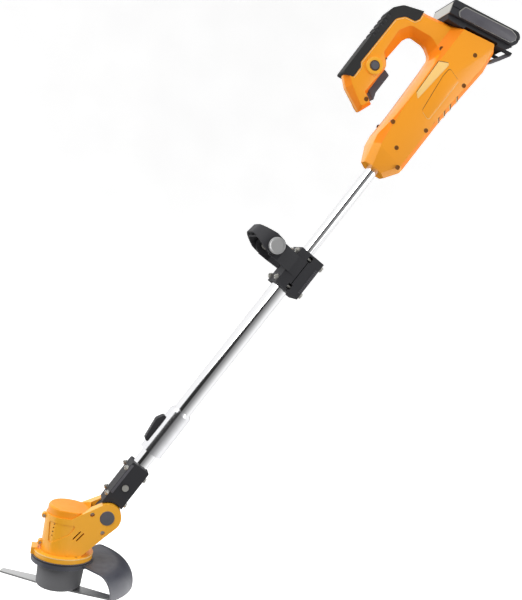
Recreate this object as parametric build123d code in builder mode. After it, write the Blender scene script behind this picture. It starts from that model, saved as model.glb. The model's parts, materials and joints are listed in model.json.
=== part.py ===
"""Cordless lawn edger with a telescoping pole, a tilting cutter head and a swinging front handle.

Frame: the origin is in the middle of the rear grip, where the hand holds the tool. +Z is up, along
the cutter spindle, and +X points towards the user. The pole leans from the head towards +X.

Two working frames are used. Head pieces are drawn about the spindle's axis, with heights from the
blade's underside. Pole pieces are drawn in the pole frame, in which u points to the underside of
the pole, y is the frame's Y, and w runs up the pole's axis, from beside the tilt pivot.
"""

import math
import os

from build123d import *

os.makedirs("parts", exist_ok=True)

# ---- fits and walls -------------------------------------------------------------------------
RUN_FIT = 0.05          # radial play of shafts, pins and sliding buttons
GAP = 0.3               # air between bodies that move past each other
WALL = 2.8              # moulded housing wall
TUBE_WALL = 1.2

# ---- tilt pivot and pole --------------------------------------------------------------------
LEAN = 29.5             # pole from the spindle's direction, degrees
PIVOT_X = 55.0
PIVOT_Z = 117.5
PIVOT_OFFSET = 5.0      # pivot to pole axis, towards the underside
PIVOT_R = 5.0

# ---- cutter head ----------------------------------------------------------------------------
HEAD_R = 34.0           # round part of the housing, about the spindle
HEAD_BOTTOM = 57.0
HEAD_TOP = 112.5
RAMP_ANGLE = 29.0
EAR_R = 21.0
EAR_HALF = 27.0         # outer faces of the two ears
UNDERSIDE_ANGLE = 45.0
CAP_R = 32.0
CAP_HEIGHT = 13.5
FLANGE_R = 44.0
FLANGE_HEIGHT = 8.0
LUG_R = 3.6
HEAD_LUGS = (106.0, 65.0)                                   # heights of the two back lugs
HEAD_SCREWS = [(32.6, 121.5, 13.0), (51.7, 94.6, -19.0)]     # x, z, how far from the middle it ends
PIVOT_CAP_R = 10.8
PIVOT_RECESS_Y = 20.5
PIN_NEAR = 14.0         # near end of the pivot pin, behind the push button
SPRING_BORE_R = 6.6

# ---- guard ----------------------------------------------------------------------------------
GUARD_THICK = 3.0
GUARD_LIP_R = 46.0
GUARD_PLATE_Z = 46.0    # upper face of the fan
GUARD_FLAT_R = 80.0     # where the fan starts to turn down
GUARD_TURN_R = 31.0
GUARD_HALF_ANGLE = 48.0
GUARD_SCREW_ANGLES = (-60, 60, 180)
GUARD_SCREW_RING = 38.0

# ---- drive and blade ------------------------------------------------------------------------
SPINDLE_R = 4.0
SPINDLE_TIP = 8.0       # below the blade
CUP_TOP_R = 35.0
CUP_BOTTOM_R = 33.5
CUP_TOP = 38.0
BLADE_SPAN = 190.0
BLADE_ROOT = 28.0
BLADE_TIP = 13.0
BLADE_THICK = 2.5
BLADE_TURN = -24.5      # blade at rest, degrees from +X
WASHER_R = 10.0
WASHER_THICK = 1.2
NUT_HEIGHT = 4.0
MOTOR_R = 20.0
MOTOR_HEIGHT = 42.0
BEARING_R = 9.0
UPPER_BEARING_R = 8.0

# ---- tilt knuckle and its clamp block ---------------------------------------------------------
INNER_TUBE_R = 12.5
TONGUE_HALF = 11.7
TONGUE_R = 19.0
TONGUE_TOP = 34.0
KNUCKLE = (PIVOT_OFFSET, 0)
SLOT_R = EAR_R + 3.2
SLOT_HALF = TONGUE_HALF + GAP
BLOCK_BOTTOM = 17.0
BLOCK_TOP = 88.0
BLOCK_HALF_U = INNER_TUBE_R + 3.0
BLOCK_BOLT_Y = INNER_TUBE_R + 3.7
BLOCK_HALF_Y = BLOCK_BOLT_Y + 3.8
BLOCK_COVER = 5.2       # thickness of the clamp block's cover plate
BLOCK_BOLTS_W = (28.5, 75.0)
CROSS_BOLT_W = 50.0
CROSS_BOLT_R = 2.5

# ---- telescoping pole -------------------------------------------------------------------------
INNER_TUBE_FOOT = 36.0
INNER_TUBE_TOP = 400.0
OUTER_TUBE_R = INNER_TUBE_R + GAP + TUBE_WALL
OUTER_TUBE_TOP = 468.0
SLEEVE_WALL = 4.2
SLEEVE_R = OUTER_TUBE_R + SLEEVE_WALL
SLEEVE_FOOT = 112.7
SLEEVE_TOP = 190.6
GUIDE_LENGTH = 6.0
DETENTS = 5
DETENT_PITCH = 50.0
SLIDER_HEIGHT = 8.0     # above the sleeve
SLIDER_FOOT_W = 139.0
SLIDER_FOOT_LENGTH = 9.0
SLIDER_TRAVEL = 8.0
UPPER_TUBE_R = 9.5
UPPER_TUBE_FOOT = 440.0
UPPER_TUBE_TOP = 765.0

# ---- front handle -----------------------------------------------------------------------------
CLAMP_FOOT = 434.0
CLAMP_TOP = 502.0
CLAMP_BOLT_Y = OUTER_TUBE_R + 6.5
CLAMP_HALF_Y = CLAMP_BOLT_Y + 6.5
CLAMP_BACK = OUTER_TUBE_R + 3.0         # saddle, on the handle's side of the pole
CLAMP_FRONT = OUTER_TUBE_R + 13.5       # cap, on the underside of the pole
CLAMP_SPLIT = 4.0
CLAMP_SLIT = 1.2
CLAMP_BOLT_R = 2.5
CLAMP_BOLT_INSET = 8.0
CLAMP_POCKET = 9.0      # length of the pocket that bares each bolt
YOKE_W = 473.0
YOKE_HEIGHT = 29.0
YOKE_OUTER = 38.0
YOKE_THICK = 6.0
SWING_U = -54.0         # swing pivot of the handle loop
SWING_W = 475.0
LOOP_TILT = -7.0
LOOP_HALF = 46.0
LOOP_REACH = 38.0
LOOP_HEIGHT = 29.0
LOOP_EYE_R = 14.5
LOOP_SKIN = 2.2
LOOP_BAR = 9.5          # thickness of the bar that the hand holds
LOOP_TAPER = 7.0        # how much lower each face is at the bar
LOOP_SHOULDER = 12.0    # where the taper starts, from the swing pivot
KNOB_R = 13.0
KNOB_THICK = 3.3
SWING_PIN_R = 4.0

# ---- rear housing -----------------------------------------------------------------------------
GRIP_U, GRIP_W = -118.0, 830.0      # middle of the grip, the model's origin
MOUTH_W = 672.0
MOUTH_R = 20.5
MOUTH_LENGTH = 26.0
BODY_HALF = 32.0
GRIP_HALF = 18.0
SKIN = 3.2              # thickness of the soft grip skin
LOCK_U, LOCK_W = -104.2, 792.0
LOCK_BEZEL_R = 13.6
LOCK_BUTTON_R = 6.6
TRIGGER_HALF = 8.0
TRIGGER_TRAVEL = 5.0
BUTTON_TRAVEL = 2.0
RIB_PITCH = 9.8
RIB_COUNT = 5
TUBE_RIB_W = 745.0
SCREW_SINK = 6.0
VENT_W = 783.0
VENT_PITCH = 13.0
VENT_COUNT = 5
BODY_BELLY = [           # side outline in (u, w): mouth, belly, battery seat and neck
    (-MOUTH_R, MOUTH_W), (MOUTH_R, MOUTH_W), (33, 692), (32.5, 800), (38.5, 905), (33, 940), (24.8, 951.3),
    (-43.2, 930.5), (-66, 921),
]
GRIP_PATH = [            # round the grip's outer edge, its foot, and up the finger window's outer side
    (-97, 911), (-127, 896), (-139, 880), (-136, 752), (-116, 740), (-76, 725), (-68, 748), (-84, 756),
    (-85, 801), (-97, 816), (-97, 854), (-90, 868),
]
NECK_CUT = [(-88, 913.9), (-88, 869)]       # where the thick body ends in the grip's neck
BODY_UPPER = [(-64, 871), (-47, 858), (-44, 840), (-37, 716), (-32, 700)]
BELLY_CORNERS = [1, 1, 6, 20, 8, 4, 2, 4, 8]
GRIP_CORNERS = [8, 12, 10, 8, 6, 3, 2, 2, 4, 3, 8, 8]
UPPER_CORNERS = [12, 6, 10, 10, 6]
REAR_OUTLINE = BODY_BELLY + GRIP_PATH + BODY_UPPER
REAR_CORNERS = BELLY_CORNERS + GRIP_CORNERS + UPPER_CORNERS
BODY_OUTLINE = BODY_BELLY + NECK_CUT + BODY_UPPER
BODY_CORNERS = BELLY_CORNERS + [1, 1] + UPPER_CORNERS
SKIN_OUTLINE = [
    (-150, 749), (-137, 749), (-119, 756), (-119.3, 776), (-124.3, 782), (-123.9, 871), (-114, 884),
    (-97.5, 889.5), (-94, 897), (-94, 935), (-150, 935),
]
GRIP_SCREWS = [(-81.5, 744.5), (-38.7, 884.0), (8.4, 910.5), (24.5, 862.0), (-29.0, 742.0), (1.0, 715.0),
               (21.0, 767.0), (22.0, 693.0)]

# ---- battery ----------------------------------------------------------------------------------
BATTERY_TILT = 17.0     # battery from the pole's cross direction
BATTERY_U, BATTERY_W = -7.0, 947.0
BATTERY_LENGTH = 124.0
BATTERY_HALF_Y = 37.5
BATTERY_HEIGHT = 23.5
FOOT_HEIGHT = 9.0
RAIL_HALF = 20.0
RAIL_HEIGHT = 4.0
CELL_R = 9.2
CELL_LENGTH = 65.0
CELL_COUNT = 5
HINGE_E, HINGE_N = 1.0, -7.4     # release lever's hinge, beyond the battery's end and below its seat
CHEEK_Y = 16.3
SCREW_R = 2.0
SCREW_HEAD_R = 3.4

# ---- frames -----------------------------------------------------------------------------------
COS, SIN = math.cos(math.radians(LEAN)), math.sin(math.radians(LEAN))
U_DIR, W_DIR = (COS, 0, -SIN), (SIN, 0, COS)
POLE_FOOT = (-GRIP_U * COS - GRIP_W * SIN, 0, GRIP_U * SIN - GRIP_W * COS)
SPINDLE = (POLE_FOOT[0] + PIVOT_OFFSET * COS - PIVOT_X, 0, POLE_FOOT[2] - PIVOT_OFFSET * SIN - PIVOT_Z)
POLE = Plane(origin=POLE_FOOT, x_dir=U_DIR, z_dir=W_DIR)
POLE_SIDE = Plane(origin=POLE_FOOT, x_dir=U_DIR, z_dir=(0, -1, 0))
ACROSS = Plane(origin=POLE_FOOT, x_dir=(0, 1, 0), z_dir=U_DIR)
HEAD = Plane(origin=SPINDLE, x_dir=(1, 0, 0), z_dir=(0, 0, 1))
HEAD_SIDE = Plane(origin=SPINDLE, x_dir=(1, 0, 0), z_dir=(0, -1, 0))
SPIN = Axis(SPINDLE, (0, 0, 1))
PIVOT = (PIVOT_X, PIVOT_Z)


def pole_point(u, w):
    """Place in the frame of a point of the pole's middle plane."""
    return (POLE_FOOT[0] + u * COS + w * SIN, 0, POLE_FOOT[2] - u * SIN + w * COS)


def turned(plane, degrees, u, w):
    """The pole's side plane moved to (u, w) and turned about Y."""
    angle = math.radians(LEAN - degrees)
    return Plane(origin=pole_point(u, w), x_dir=(math.cos(angle), 0, -math.sin(angle)), z_dir=plane)


BATTERY_SIDE = turned((0, -1, 0), BATTERY_TILT, BATTERY_U, BATTERY_W)
LOOP_SIDE = turned((0, -1, 0), LOOP_TILT, SWING_U, SWING_W)
LOOP_UP = Plane(origin=LOOP_SIDE.origin, x_dir=LOOP_SIDE.x_dir, z_dir=LOOP_SIDE.y_dir)


def save(node, name):
    """Label a finished piece and write its STEP file."""
    node.part.label = name
    export_step(node.part, f"parts/{name}.step")


def bar(plane, place, radius, start, end):
    """A round bar whose axis is the plane's normal, from start to end along it."""
    with BuildPart() as made:
        with BuildSketch(plane.offset(start)):
            with Locations(place):
                Circle(radius)
        extrude(amount=end - start)
    return made.part


def ring(plane, place, outer, inner, start, end):
    """A round ring whose axis is the plane's normal."""
    with BuildPart() as made:
        with BuildSketch(plane.offset(start)):
            with Locations(place):
                Circle(outer)
                Circle(inner, mode=Mode.SUBTRACT)
        extrude(amount=end - start)
    return made.part


def slab(plane, points, start, end, radius=0.0):
    """A plate with the outline of the points, from start to end along the plane's normal."""
    with BuildPart() as made:
        with BuildSketch(plane.offset(start)):
            with BuildLine():
                if radius:
                    FilletPolyline(*points, radius=radius, close=True)
                else:
                    Polyline(*points, close=True)
            make_face()
        extrude(amount=end - start)
    return made.part


def block(plane, low, high, start, end):
    """A rectangular block between two corners of the plane."""
    corners = [low, (high[0], low[1]), high, (low[0], high[1])]
    return slab(plane, corners, start, end)


def hexagon(plane, place, radius, start, end):
    """A hexagonal nut or head without its hole."""
    with BuildPart() as made:
        with BuildSketch(plane.offset(start)):
            with Locations(place):
                RegularPolygon(radius, 6)
        extrude(amount=end - start)
    return made.part


def tube(plane, outer, start, end):
    """A thin tube about the plane's normal."""
    return ring(plane, (0, 0), outer, outer - TUBE_WALL, start, end)


def save_all(pieces, name):
    """Write several like pieces as one node of separate solids."""
    with BuildPart() as made:
        for piece in pieces:
            add(piece)
    save(made, name)


def coil(plane, place, mean_r, wire_r, start, length, turns):
    """A compression spring whose axis is the plane's normal."""
    centre = plane.from_local_coords((place[0], place[1], start))
    path = Helix(pitch=length / turns, height=length, radius=mean_r)
    with BuildPart(mode=Mode.PRIVATE) as wound:
        with BuildSketch(Plane(origin=path @ 0, z_dir=path % 0)):
            Circle(wire_r)
        sweep(path=path, is_frenet=True)
    return Plane(origin=centre, x_dir=plane.x_dir, z_dir=plane.z_dir).location * wound.part


# ---- cutter head ------------------------------------------------------------------------------
def tangent_point(angle):
    """Point of the ear's round edge at an angle from +X."""
    turn = math.radians(angle)
    return (PIVOT_X + EAR_R * math.cos(turn), PIVOT_Z + EAR_R * math.sin(turn))


def head_form():
    """Outer shape of the head housing, both halves together, before it is hollowed."""
    upper = tangent_point(90 + RAMP_ANGLE)
    lower = tangent_point(-UNDERSIDE_ANGLE)
    ramp_foot = (upper[0] - (upper[1] - HEAD_TOP) / math.tan(math.radians(RAMP_ANGLE)), HEAD_TOP)
    keel = (lower[0] - (lower[1] - HEAD_BOTTOM) / math.tan(math.radians(UNDERSIDE_ANGLE)), HEAD_BOTTOM)
    side = [(-HEAD_R, HEAD_BOTTOM), (-HEAD_R, HEAD_TOP), ramp_foot, upper, PIVOT, lower, keel]
    with BuildPart() as form:
        with BuildSketch(HEAD_SIDE):
            with BuildLine():
                Polyline(*side, close=True)
            make_face()
            with Locations(PIVOT):
                Circle(EAR_R)
        extrude(amount=HEAD_R + 1, both=True)
        with BuildSketch(HEAD):
            Circle(HEAD_R)
            with BuildLine():
                Polyline((0, -HEAD_R), (PIVOT_X, -EAR_HALF), (100, -EAR_HALF),
                         (100, EAR_HALF), (PIVOT_X, EAR_HALF), (0, HEAD_R), close=True)
            make_face()
        extrude(amount=200, mode=Mode.INTERSECT)
        for height in HEAD_LUGS:
            add(bar(HEAD_SIDE, (-HEAD_R - LUG_R / 2, height), LUG_R, -5, 5))
    return form.part


def head_slot():
    """Room between the ears in which the tongue swings."""
    with BuildPart() as slot:
        add(bar(HEAD_SIDE, PIVOT, SLOT_R, -SLOT_HALF, SLOT_HALF))
        low, high = (PIVOT_X - SLOT_R, PIVOT_Z), (PIVOT_X + SLOT_R, PIVOT_Z + 40)
        add(block(HEAD_SIDE, low, high, -SLOT_HALF, SLOT_HALF))
    return slot.part


def cheek_pocket():
    """Shallow three-cornered panel in each cheek, as deep as the skin over a smaller cylinder."""
    corners = [(-27.5, 104.5), (12.5, 103.5), (4, 90), (-24.5, 71.5)]
    with BuildPart() as pocket:
        add(slab(HEAD_SIDE, corners, -HEAD_R - 2, HEAD_R + 2, radius=3))
        add(bar(HEAD, (0, 0), HEAD_R - 1.2, 0, 200), mode=Mode.SUBTRACT)
    return pocket.part


def head_vents():
    """Two slots and four small holes through each cheek."""
    with BuildPart() as vents:
        for start in ((19.5, 95.6), (24.5, 93.0)):
            centre = (start[0] - 4.8, start[1] - 6.2)
            with BuildSketch(HEAD_SIDE):
                with Locations(centre):
                    SlotOverall(16, 2.0, rotation=52)
            extrude(amount=HEAD_R + 2, both=True)
        for step in range(4):
            add(bar(HEAD_SIDE, (-19.5 - 0.4 * step, 101.7 - 5.8 * step), 1.0, -HEAD_R - 2, HEAD_R + 2))
    return vents.part


def make_head_housing():
    """Two moulded halves that meet on the middle plane and hold the motor and the pivot."""
    with BuildPart() as whole:
        add(head_form())
        add(head_slot(), mode=Mode.SUBTRACT)
        add(bar(HEAD, (0, 0), HEAD_R - WALL, HEAD_BOTTOM + WALL, HEAD_TOP - WALL), mode=Mode.SUBTRACT)
        add(bar(HEAD, (0, 0), CAP_R + GAP, HEAD_TOP, HEAD_TOP + 60), mode=Mode.SUBTRACT)
        add(bar(HEAD, (0, 0), BEARING_R, HEAD_BOTTOM - 1, HEAD_BOTTOM + WALL + 1), mode=Mode.SUBTRACT)
        add(bar(HEAD_SIDE, PIVOT, PIVOT_R, -EAR_HALF, EAR_HALF), mode=Mode.SUBTRACT)
        for side in (-1, 1):
            start, end = side * PIVOT_RECESS_Y, side * (EAR_HALF + 4)
            add(bar(HEAD_SIDE, PIVOT, PIVOT_CAP_R + RUN_FIT, start, end), mode=Mode.SUBTRACT)
        add(bar(HEAD_SIDE, PIVOT, SPRING_BORE_R, PIN_NEAR, PIVOT_RECESS_Y + 1), mode=Mode.SUBTRACT)
        add(cheek_pocket(), mode=Mode.SUBTRACT)
        add(head_vents(), mode=Mode.SUBTRACT)
        for x, z, end in HEAD_SCREWS:
            add(bar(HEAD_SIDE, (x, z), SCREW_HEAD_R, EAR_HALF - 5, HEAD_R + 2), mode=Mode.SUBTRACT)
            add(bar(HEAD_SIDE, (x, z), SCREW_R, end, HEAD_R), mode=Mode.SUBTRACT)
        for height in HEAD_LUGS:
            add(bar(HEAD_SIDE, (-HEAD_R - LUG_R / 2, height), 1.3, -4, 6), mode=Mode.SUBTRACT)
    for name, keep in (("head_housing_left", Keep.TOP), ("head_housing_right", Keep.BOTTOM)):
        with BuildPart() as half:
            add(whole.part)
            split(bisect_by=HEAD_SIDE, keep=keep)
        save(half, name)


def make_head_cap():
    """Round cover on top of the head, sloping down towards the ears."""
    with BuildPart() as cap:
        with BuildSketch(HEAD.offset(HEAD_TOP)):
            Circle(CAP_R)
        extrude(amount=CAP_HEIGHT)
        top = cap.edges().filter_by(GeomType.CIRCLE).sort_by(Axis.Z)[-1]
        fillet(top, 5)
        cutter = Plane(origin=HEAD.from_local_coords((-CAP_R, 0, HEAD_TOP + CAP_HEIGHT)), z_dir=(0.09, 0, 1))
        split(bisect_by=cutter, keep=Keep.BOTTOM)
    save(cap, "head_top_cap")


def make_head_screws():
    """Screws that close the head's two halves, in the ears and in the two back lugs."""
    pieces = []
    for x, z, end in HEAD_SCREWS:
        with BuildPart() as screw:
            add(bar(HEAD_SIDE, (x, z), SCREW_HEAD_R - 0.2, EAR_HALF - 5, EAR_HALF - 2.6))
            add(bar(HEAD_SIDE, (x, z), SCREW_R, end, EAR_HALF - 4))
        pieces.append(screw.part)
    for height in HEAD_LUGS:
        place = (-HEAD_R - LUG_R / 2, height)
        with BuildPart() as screw:
            add(bar(HEAD_SIDE, place, 1.9, 5, 6.6))
            add(bar(HEAD_SIDE, place, 1.3, -3.5, 5.5))
        pieces.append(screw.part)
    save_all(pieces, "head_screws")


def make_pivot():
    """Pivot pin across the ears, its far cap, the near push button and the button's spring."""
    save_all([bar(HEAD_SIDE, PIVOT, PIVOT_R, -PIVOT_RECESS_Y, PIN_NEAR)], "tilt_pivot_pin")
    save_all([bar(HEAD_SIDE, PIVOT, PIVOT_CAP_R, -EAR_HALF - 1.5, -PIVOT_RECESS_Y)], "tilt_pivot_cap")
    with BuildPart() as button:
        add(bar(HEAD_SIDE, PIVOT, PIVOT_CAP_R, PIVOT_RECESS_Y + BUTTON_TRAVEL, EAR_HALF + 1.5))
        rim = button.edges().filter_by(GeomType.CIRCLE).sort_by(Axis.Y)[0]
        fillet(rim, 1.0)
    save(button, "tilt_button")
    low = PIN_NEAR + BUTTON_TRAVEL + GAP + 0.6
    high = PIVOT_RECESS_Y + BUTTON_TRAVEL
    save_all([coil(HEAD_SIDE, PIVOT, 4.6, 0.6, low, high - low - 0.55, 3)], "tilt_button_spring")


def make_flange_and_guard():
    """Mounting ring under the housing, and the guard that it clamps."""
    with BuildPart() as flange:
        add(ring(HEAD, (0, 0), FLANGE_R, BEARING_R, HEAD_BOTTOM - FLANGE_HEIGHT, HEAD_BOTTOM))
        tab = (-FLANGE_R - 3.5, -11), (-FLANGE_R + 6, 11)
        add(block(HEAD, *tab, HEAD_BOTTOM - FLANGE_HEIGHT, HEAD_BOTTOM + 2))
        add(ring(HEAD, (0, 0), HEAD_R + 1, HEAD_R, HEAD_BOTTOM - 1, HEAD_BOTTOM + 2), mode=Mode.SUBTRACT)
        for angle in GUARD_SCREW_ANGLES:
            add(bar(HEAD, polar(GUARD_SCREW_RING, angle), SCREW_R, 40, HEAD_BOTTOM + 1), mode=Mode.SUBTRACT)
    save(flange, "guard_flange")

    top = HEAD_BOTTOM - FLANGE_HEIGHT
    turn = (GUARD_FLAT_R, GUARD_PLATE_Z - GUARD_TURN_R)
    inner = GUARD_TURN_R - GUARD_THICK
    start = Plane(origin=SPINDLE, x_dir=(*polar(1, -GUARD_HALF_ANGLE), 0),
                  z_dir=(*polar(1, -GUARD_HALF_ANGLE - 90), 0))
    with BuildPart() as guard:
        add(ring(HEAD, (0, 0), GUARD_LIP_R, BEARING_R + 2, top - GUARD_THICK, top))
        add(ring(HEAD, (0, 0), GUARD_LIP_R, GUARD_LIP_R - GUARD_THICK, top - 9, top))
        with BuildSketch(start):
            with BuildLine():
                Line((GUARD_LIP_R - 1, GUARD_PLATE_Z), (GUARD_FLAT_R, GUARD_PLATE_Z))
                RadiusArc((GUARD_FLAT_R, GUARD_PLATE_Z), (turn[0] + GUARD_TURN_R, turn[1]), GUARD_TURN_R)
                Line((turn[0] + GUARD_TURN_R, turn[1]), (turn[0] + inner, turn[1]))
                RadiusArc((turn[0] + inner, turn[1]), (GUARD_FLAT_R, turn[1] + inner), -inner)
                Line((GUARD_FLAT_R, turn[1] + inner), (GUARD_LIP_R - 1, turn[1] + inner))
                Line((GUARD_LIP_R - 1, turn[1] + inner), (GUARD_LIP_R - 1, GUARD_PLATE_Z))
            make_face()
        revolve(axis=SPIN, revolution_arc=2 * GUARD_HALF_ANGLE)
        for angle in GUARD_SCREW_ANGLES:
            add(bar(HEAD, polar(GUARD_SCREW_RING, angle), SCREW_R, 40, HEAD_BOTTOM), mode=Mode.SUBTRACT)
    save(guard, "blade_guard")

    screws = []
    for angle in GUARD_SCREW_ANGLES:
        with BuildPart() as screw:
            place, seat = polar(GUARD_SCREW_RING, angle), top - GUARD_THICK
            add(bar(HEAD, place, SCREW_HEAD_R, seat - 2.2, seat))
            add(bar(HEAD, place, SCREW_R, seat - 1, HEAD_BOTTOM - 1))
        screws.append(screw.part)
    save_all(screws, "guard_screws")


def polar(radius, degrees):
    """Point at a radius and an angle."""
    turn = math.radians(degrees)
    return (radius * math.cos(turn), radius * math.sin(turn))


def make_motor():
    """Motor can, its magnets and the two bearings that carry the spindle."""
    foot = HEAD_BOTTOM + WALL + 2
    top = foot + MOTOR_HEIGHT
    with BuildPart() as can:
        add(ring(HEAD, (0, 0), MOTOR_R, MOTOR_R - 1.4, foot, top))
        add(ring(HEAD, (0, 0), MOTOR_R - 1.4, UPPER_BEARING_R, top - 2, top))
        add(ring(HEAD, (0, 0), HEAD_R - WALL, MOTOR_R - 1.4, foot, foot + 3))
        add(ring(HEAD, (0, 0), HEAD_R - WALL, MOTOR_R, top - 3, top))
    save(can, "motor_can")
    magnets = []
    for side in (0, 180):
        start = Plane(origin=SPINDLE, x_dir=(*polar(1, side - 65), 0), z_dir=(*polar(1, side - 155), 0))
        with BuildPart() as magnet:
            with BuildSketch(start):
                with Locations((MOTOR_R - 3.2, foot + 18)):
                    Rectangle(3.4, 26)
            revolve(axis=SPIN, revolution_arc=130)
        magnets.append(magnet.part)
    save_all(magnets, "motor_magnets")
    save_all([ring(HEAD, (0, 0), UPPER_BEARING_R, SPINDLE_R + RUN_FIT, top - 5, top)], "upper_bearing")
    lower = HEAD_BOTTOM - FLANGE_HEIGHT
    save_all([ring(HEAD, (0, 0), BEARING_R, SPINDLE_R + RUN_FIT, lower + 1, lower + 9)], "lower_bearing")
    return foot, top


def make_rotor(foot, top):
    """Everything that spins: spindle, armature, cup, blade, washer and nut."""
    with BuildPart() as spindle:
        add(bar(HEAD, (0, 0), SPINDLE_R, -SPINDLE_TIP, top - 1))
        end = spindle.edges().filter_by(GeomType.CIRCLE).sort_by(Axis.Z)[0]
        chamfer(end, 0.8)
    save(spindle, "drive_spindle")
    with BuildPart() as armature:
        add(ring(HEAD, (0, 0), MOTOR_R - 6, SPINDLE_R, foot + 6, foot + 30))
        add(ring(HEAD, (0, 0), 7.5, SPINDLE_R, foot + 30, foot + 35))
    save(armature, "motor_armature")
    with BuildPart() as cup:
        with BuildSketch(HEAD_SIDE):
            with BuildLine():
                Polyline((SPINDLE_R, BLADE_THICK), (CUP_BOTTOM_R - 4, BLADE_THICK))
                RadiusArc((CUP_BOTTOM_R - 4, BLADE_THICK), (CUP_BOTTOM_R, BLADE_THICK + 4), -4)
                Polyline((CUP_BOTTOM_R, BLADE_THICK + 4), (CUP_TOP_R, CUP_TOP), (CUP_TOP_R - 2.5, CUP_TOP),
                         (CUP_BOTTOM_R - 2.5, BLADE_THICK + 4), (9, BLADE_THICK + 4),
                         (9, CUP_TOP - 6), (SPINDLE_R, CUP_TOP - 6), (SPINDLE_R, BLADE_THICK))
            make_face()
        revolve(axis=SPIN)
    save(cup, "blade_hub_cup")
    half = BLADE_SPAN / 2
    outline = [(-half, -BLADE_TIP / 2), (0, -BLADE_ROOT / 2), (half, -BLADE_TIP / 2),
               (half, BLADE_TIP / 2), (0, BLADE_ROOT / 2), (-half, BLADE_TIP / 2)]
    level = Plane(origin=SPINDLE, x_dir=(*polar(1, BLADE_TURN), 0), z_dir=(0, 0, 1))
    with BuildPart() as blade:
        add(slab(level, outline, 0, BLADE_THICK, radius=[2, 30, 2, 2, 30, 2]))
        add(bar(level, (0, 0), SPINDLE_R, -1, BLADE_THICK + 1), mode=Mode.SUBTRACT)
    save(blade, "cutting_blade")
    save_all([ring(HEAD, (0, 0), WASHER_R, SPINDLE_R, -WASHER_THICK, 0)], "blade_washer")
    with BuildPart() as nut:
        add(hexagon(HEAD, (0, 0), 7.4, -WASHER_THICK - NUT_HEIGHT, -WASHER_THICK))
        add(bar(HEAD, (0, 0), SPINDLE_R, -20, 0), mode=Mode.SUBTRACT)
    save(nut, "blade_nut")


# ---- tilt knuckle and clamp block -------------------------------------------------------------
def make_knuckle():
    """Flat tongue on the pivot, held in the foot of the clamp block."""
    with BuildPart() as tongue:
        add(bar(POLE_SIDE, KNUCKLE, TONGUE_R, -TONGUE_HALF, TONGUE_HALF))
        add(block(POLE_SIDE, (-9, 0), (12, TONGUE_TOP), -TONGUE_HALF, TONGUE_HALF))
        add(bar(POLE_SIDE, KNUCKLE, PIVOT_R + RUN_FIT, -20, 20), mode=Mode.SUBTRACT)
    save(tongue, "hinge_tongue")


def make_clamp_block():
    """Clamp block on the inner tube's foot: body, cover plate, four bolts and nuts, cross bolt."""
    seam = -BLOCK_HALF_U + BLOCK_COVER
    bolts = [(y, w) for y in (-BLOCK_BOLT_Y, BLOCK_BOLT_Y) for w in BLOCK_BOLTS_W]
    with BuildPart() as whole:
        low, high = (-BLOCK_HALF_U, BLOCK_BOTTOM - 4), (BLOCK_HALF_U, BLOCK_TOP)
        add(block(POLE_SIDE, low, high, -BLOCK_HALF_Y, BLOCK_HALF_Y))
        fillet(whole.edges().filter_by(Axis.Y).sort_by(Axis(POLE_FOOT, W_DIR))[-2:], 2.5)
        add(bar(POLE_SIDE, KNUCKLE, EAR_R + 1.8, -30, 30), mode=Mode.SUBTRACT)
        add(bar(POLE, (0, 0), INNER_TUBE_R, INNER_TUBE_FOOT, BLOCK_TOP + 1), mode=Mode.SUBTRACT)
        add(block(POLE_SIDE, (-9, 0), (12, TONGUE_TOP), -TONGUE_HALF, TONGUE_HALF), mode=Mode.SUBTRACT)
        for place in bolts:
            add(bar(ACROSS, place, SCREW_R, -40, 40), mode=Mode.SUBTRACT)
        add(bar(POLE_SIDE, (0, CROSS_BOLT_W), CROSS_BOLT_R, -30, 30), mode=Mode.SUBTRACT)
        add(bar(POLE_SIDE, (0, CROSS_BOLT_W), 6, BLOCK_HALF_Y - 1.5, BLOCK_HALF_Y + 1), mode=Mode.SUBTRACT)
    for name, keep in (("clamp_block_cover", Keep.BOTTOM), ("clamp_block", Keep.TOP)):
        with BuildPart() as half:
            add(whole.part)
            split(bisect_by=ACROSS.offset(seam), keep=keep)
        save(half, name)
    screws, nuts = [], []
    for place in bolts:
        with BuildPart() as screw:
            add(bar(ACROSS, place, 3.6, BLOCK_HALF_U, BLOCK_HALF_U + 2.8))
            add(bar(ACROSS, place, SCREW_R, -BLOCK_HALF_U - 5.5, BLOCK_HALF_U + 1))
        screws.append(screw.part)
        with BuildPart() as nut:
            add(hexagon(ACROSS, place, 4.0, -BLOCK_HALF_U - 3.4, -BLOCK_HALF_U))
            add(bar(ACROSS, place, SCREW_R, -40, 0), mode=Mode.SUBTRACT)
        nuts.append(nut.part)
    save_all(screws, "clamp_block_bolts")
    save_all(nuts, "clamp_block_nuts")
    with BuildPart() as cross:
        add(bar(POLE_SIDE, (0, CROSS_BOLT_W), 5.0, BLOCK_HALF_Y - 1.5, BLOCK_HALF_Y + 1.4))
        add(bar(POLE_SIDE, (0, CROSS_BOLT_W), CROSS_BOLT_R, -BLOCK_HALF_Y, BLOCK_HALF_Y))
        add(hexagon(POLE_SIDE, (0, CROSS_BOLT_W), 4.6, -BLOCK_HALF_Y - 3.6, -BLOCK_HALF_Y))
    save(cross, "pole_cross_bolt")


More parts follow.
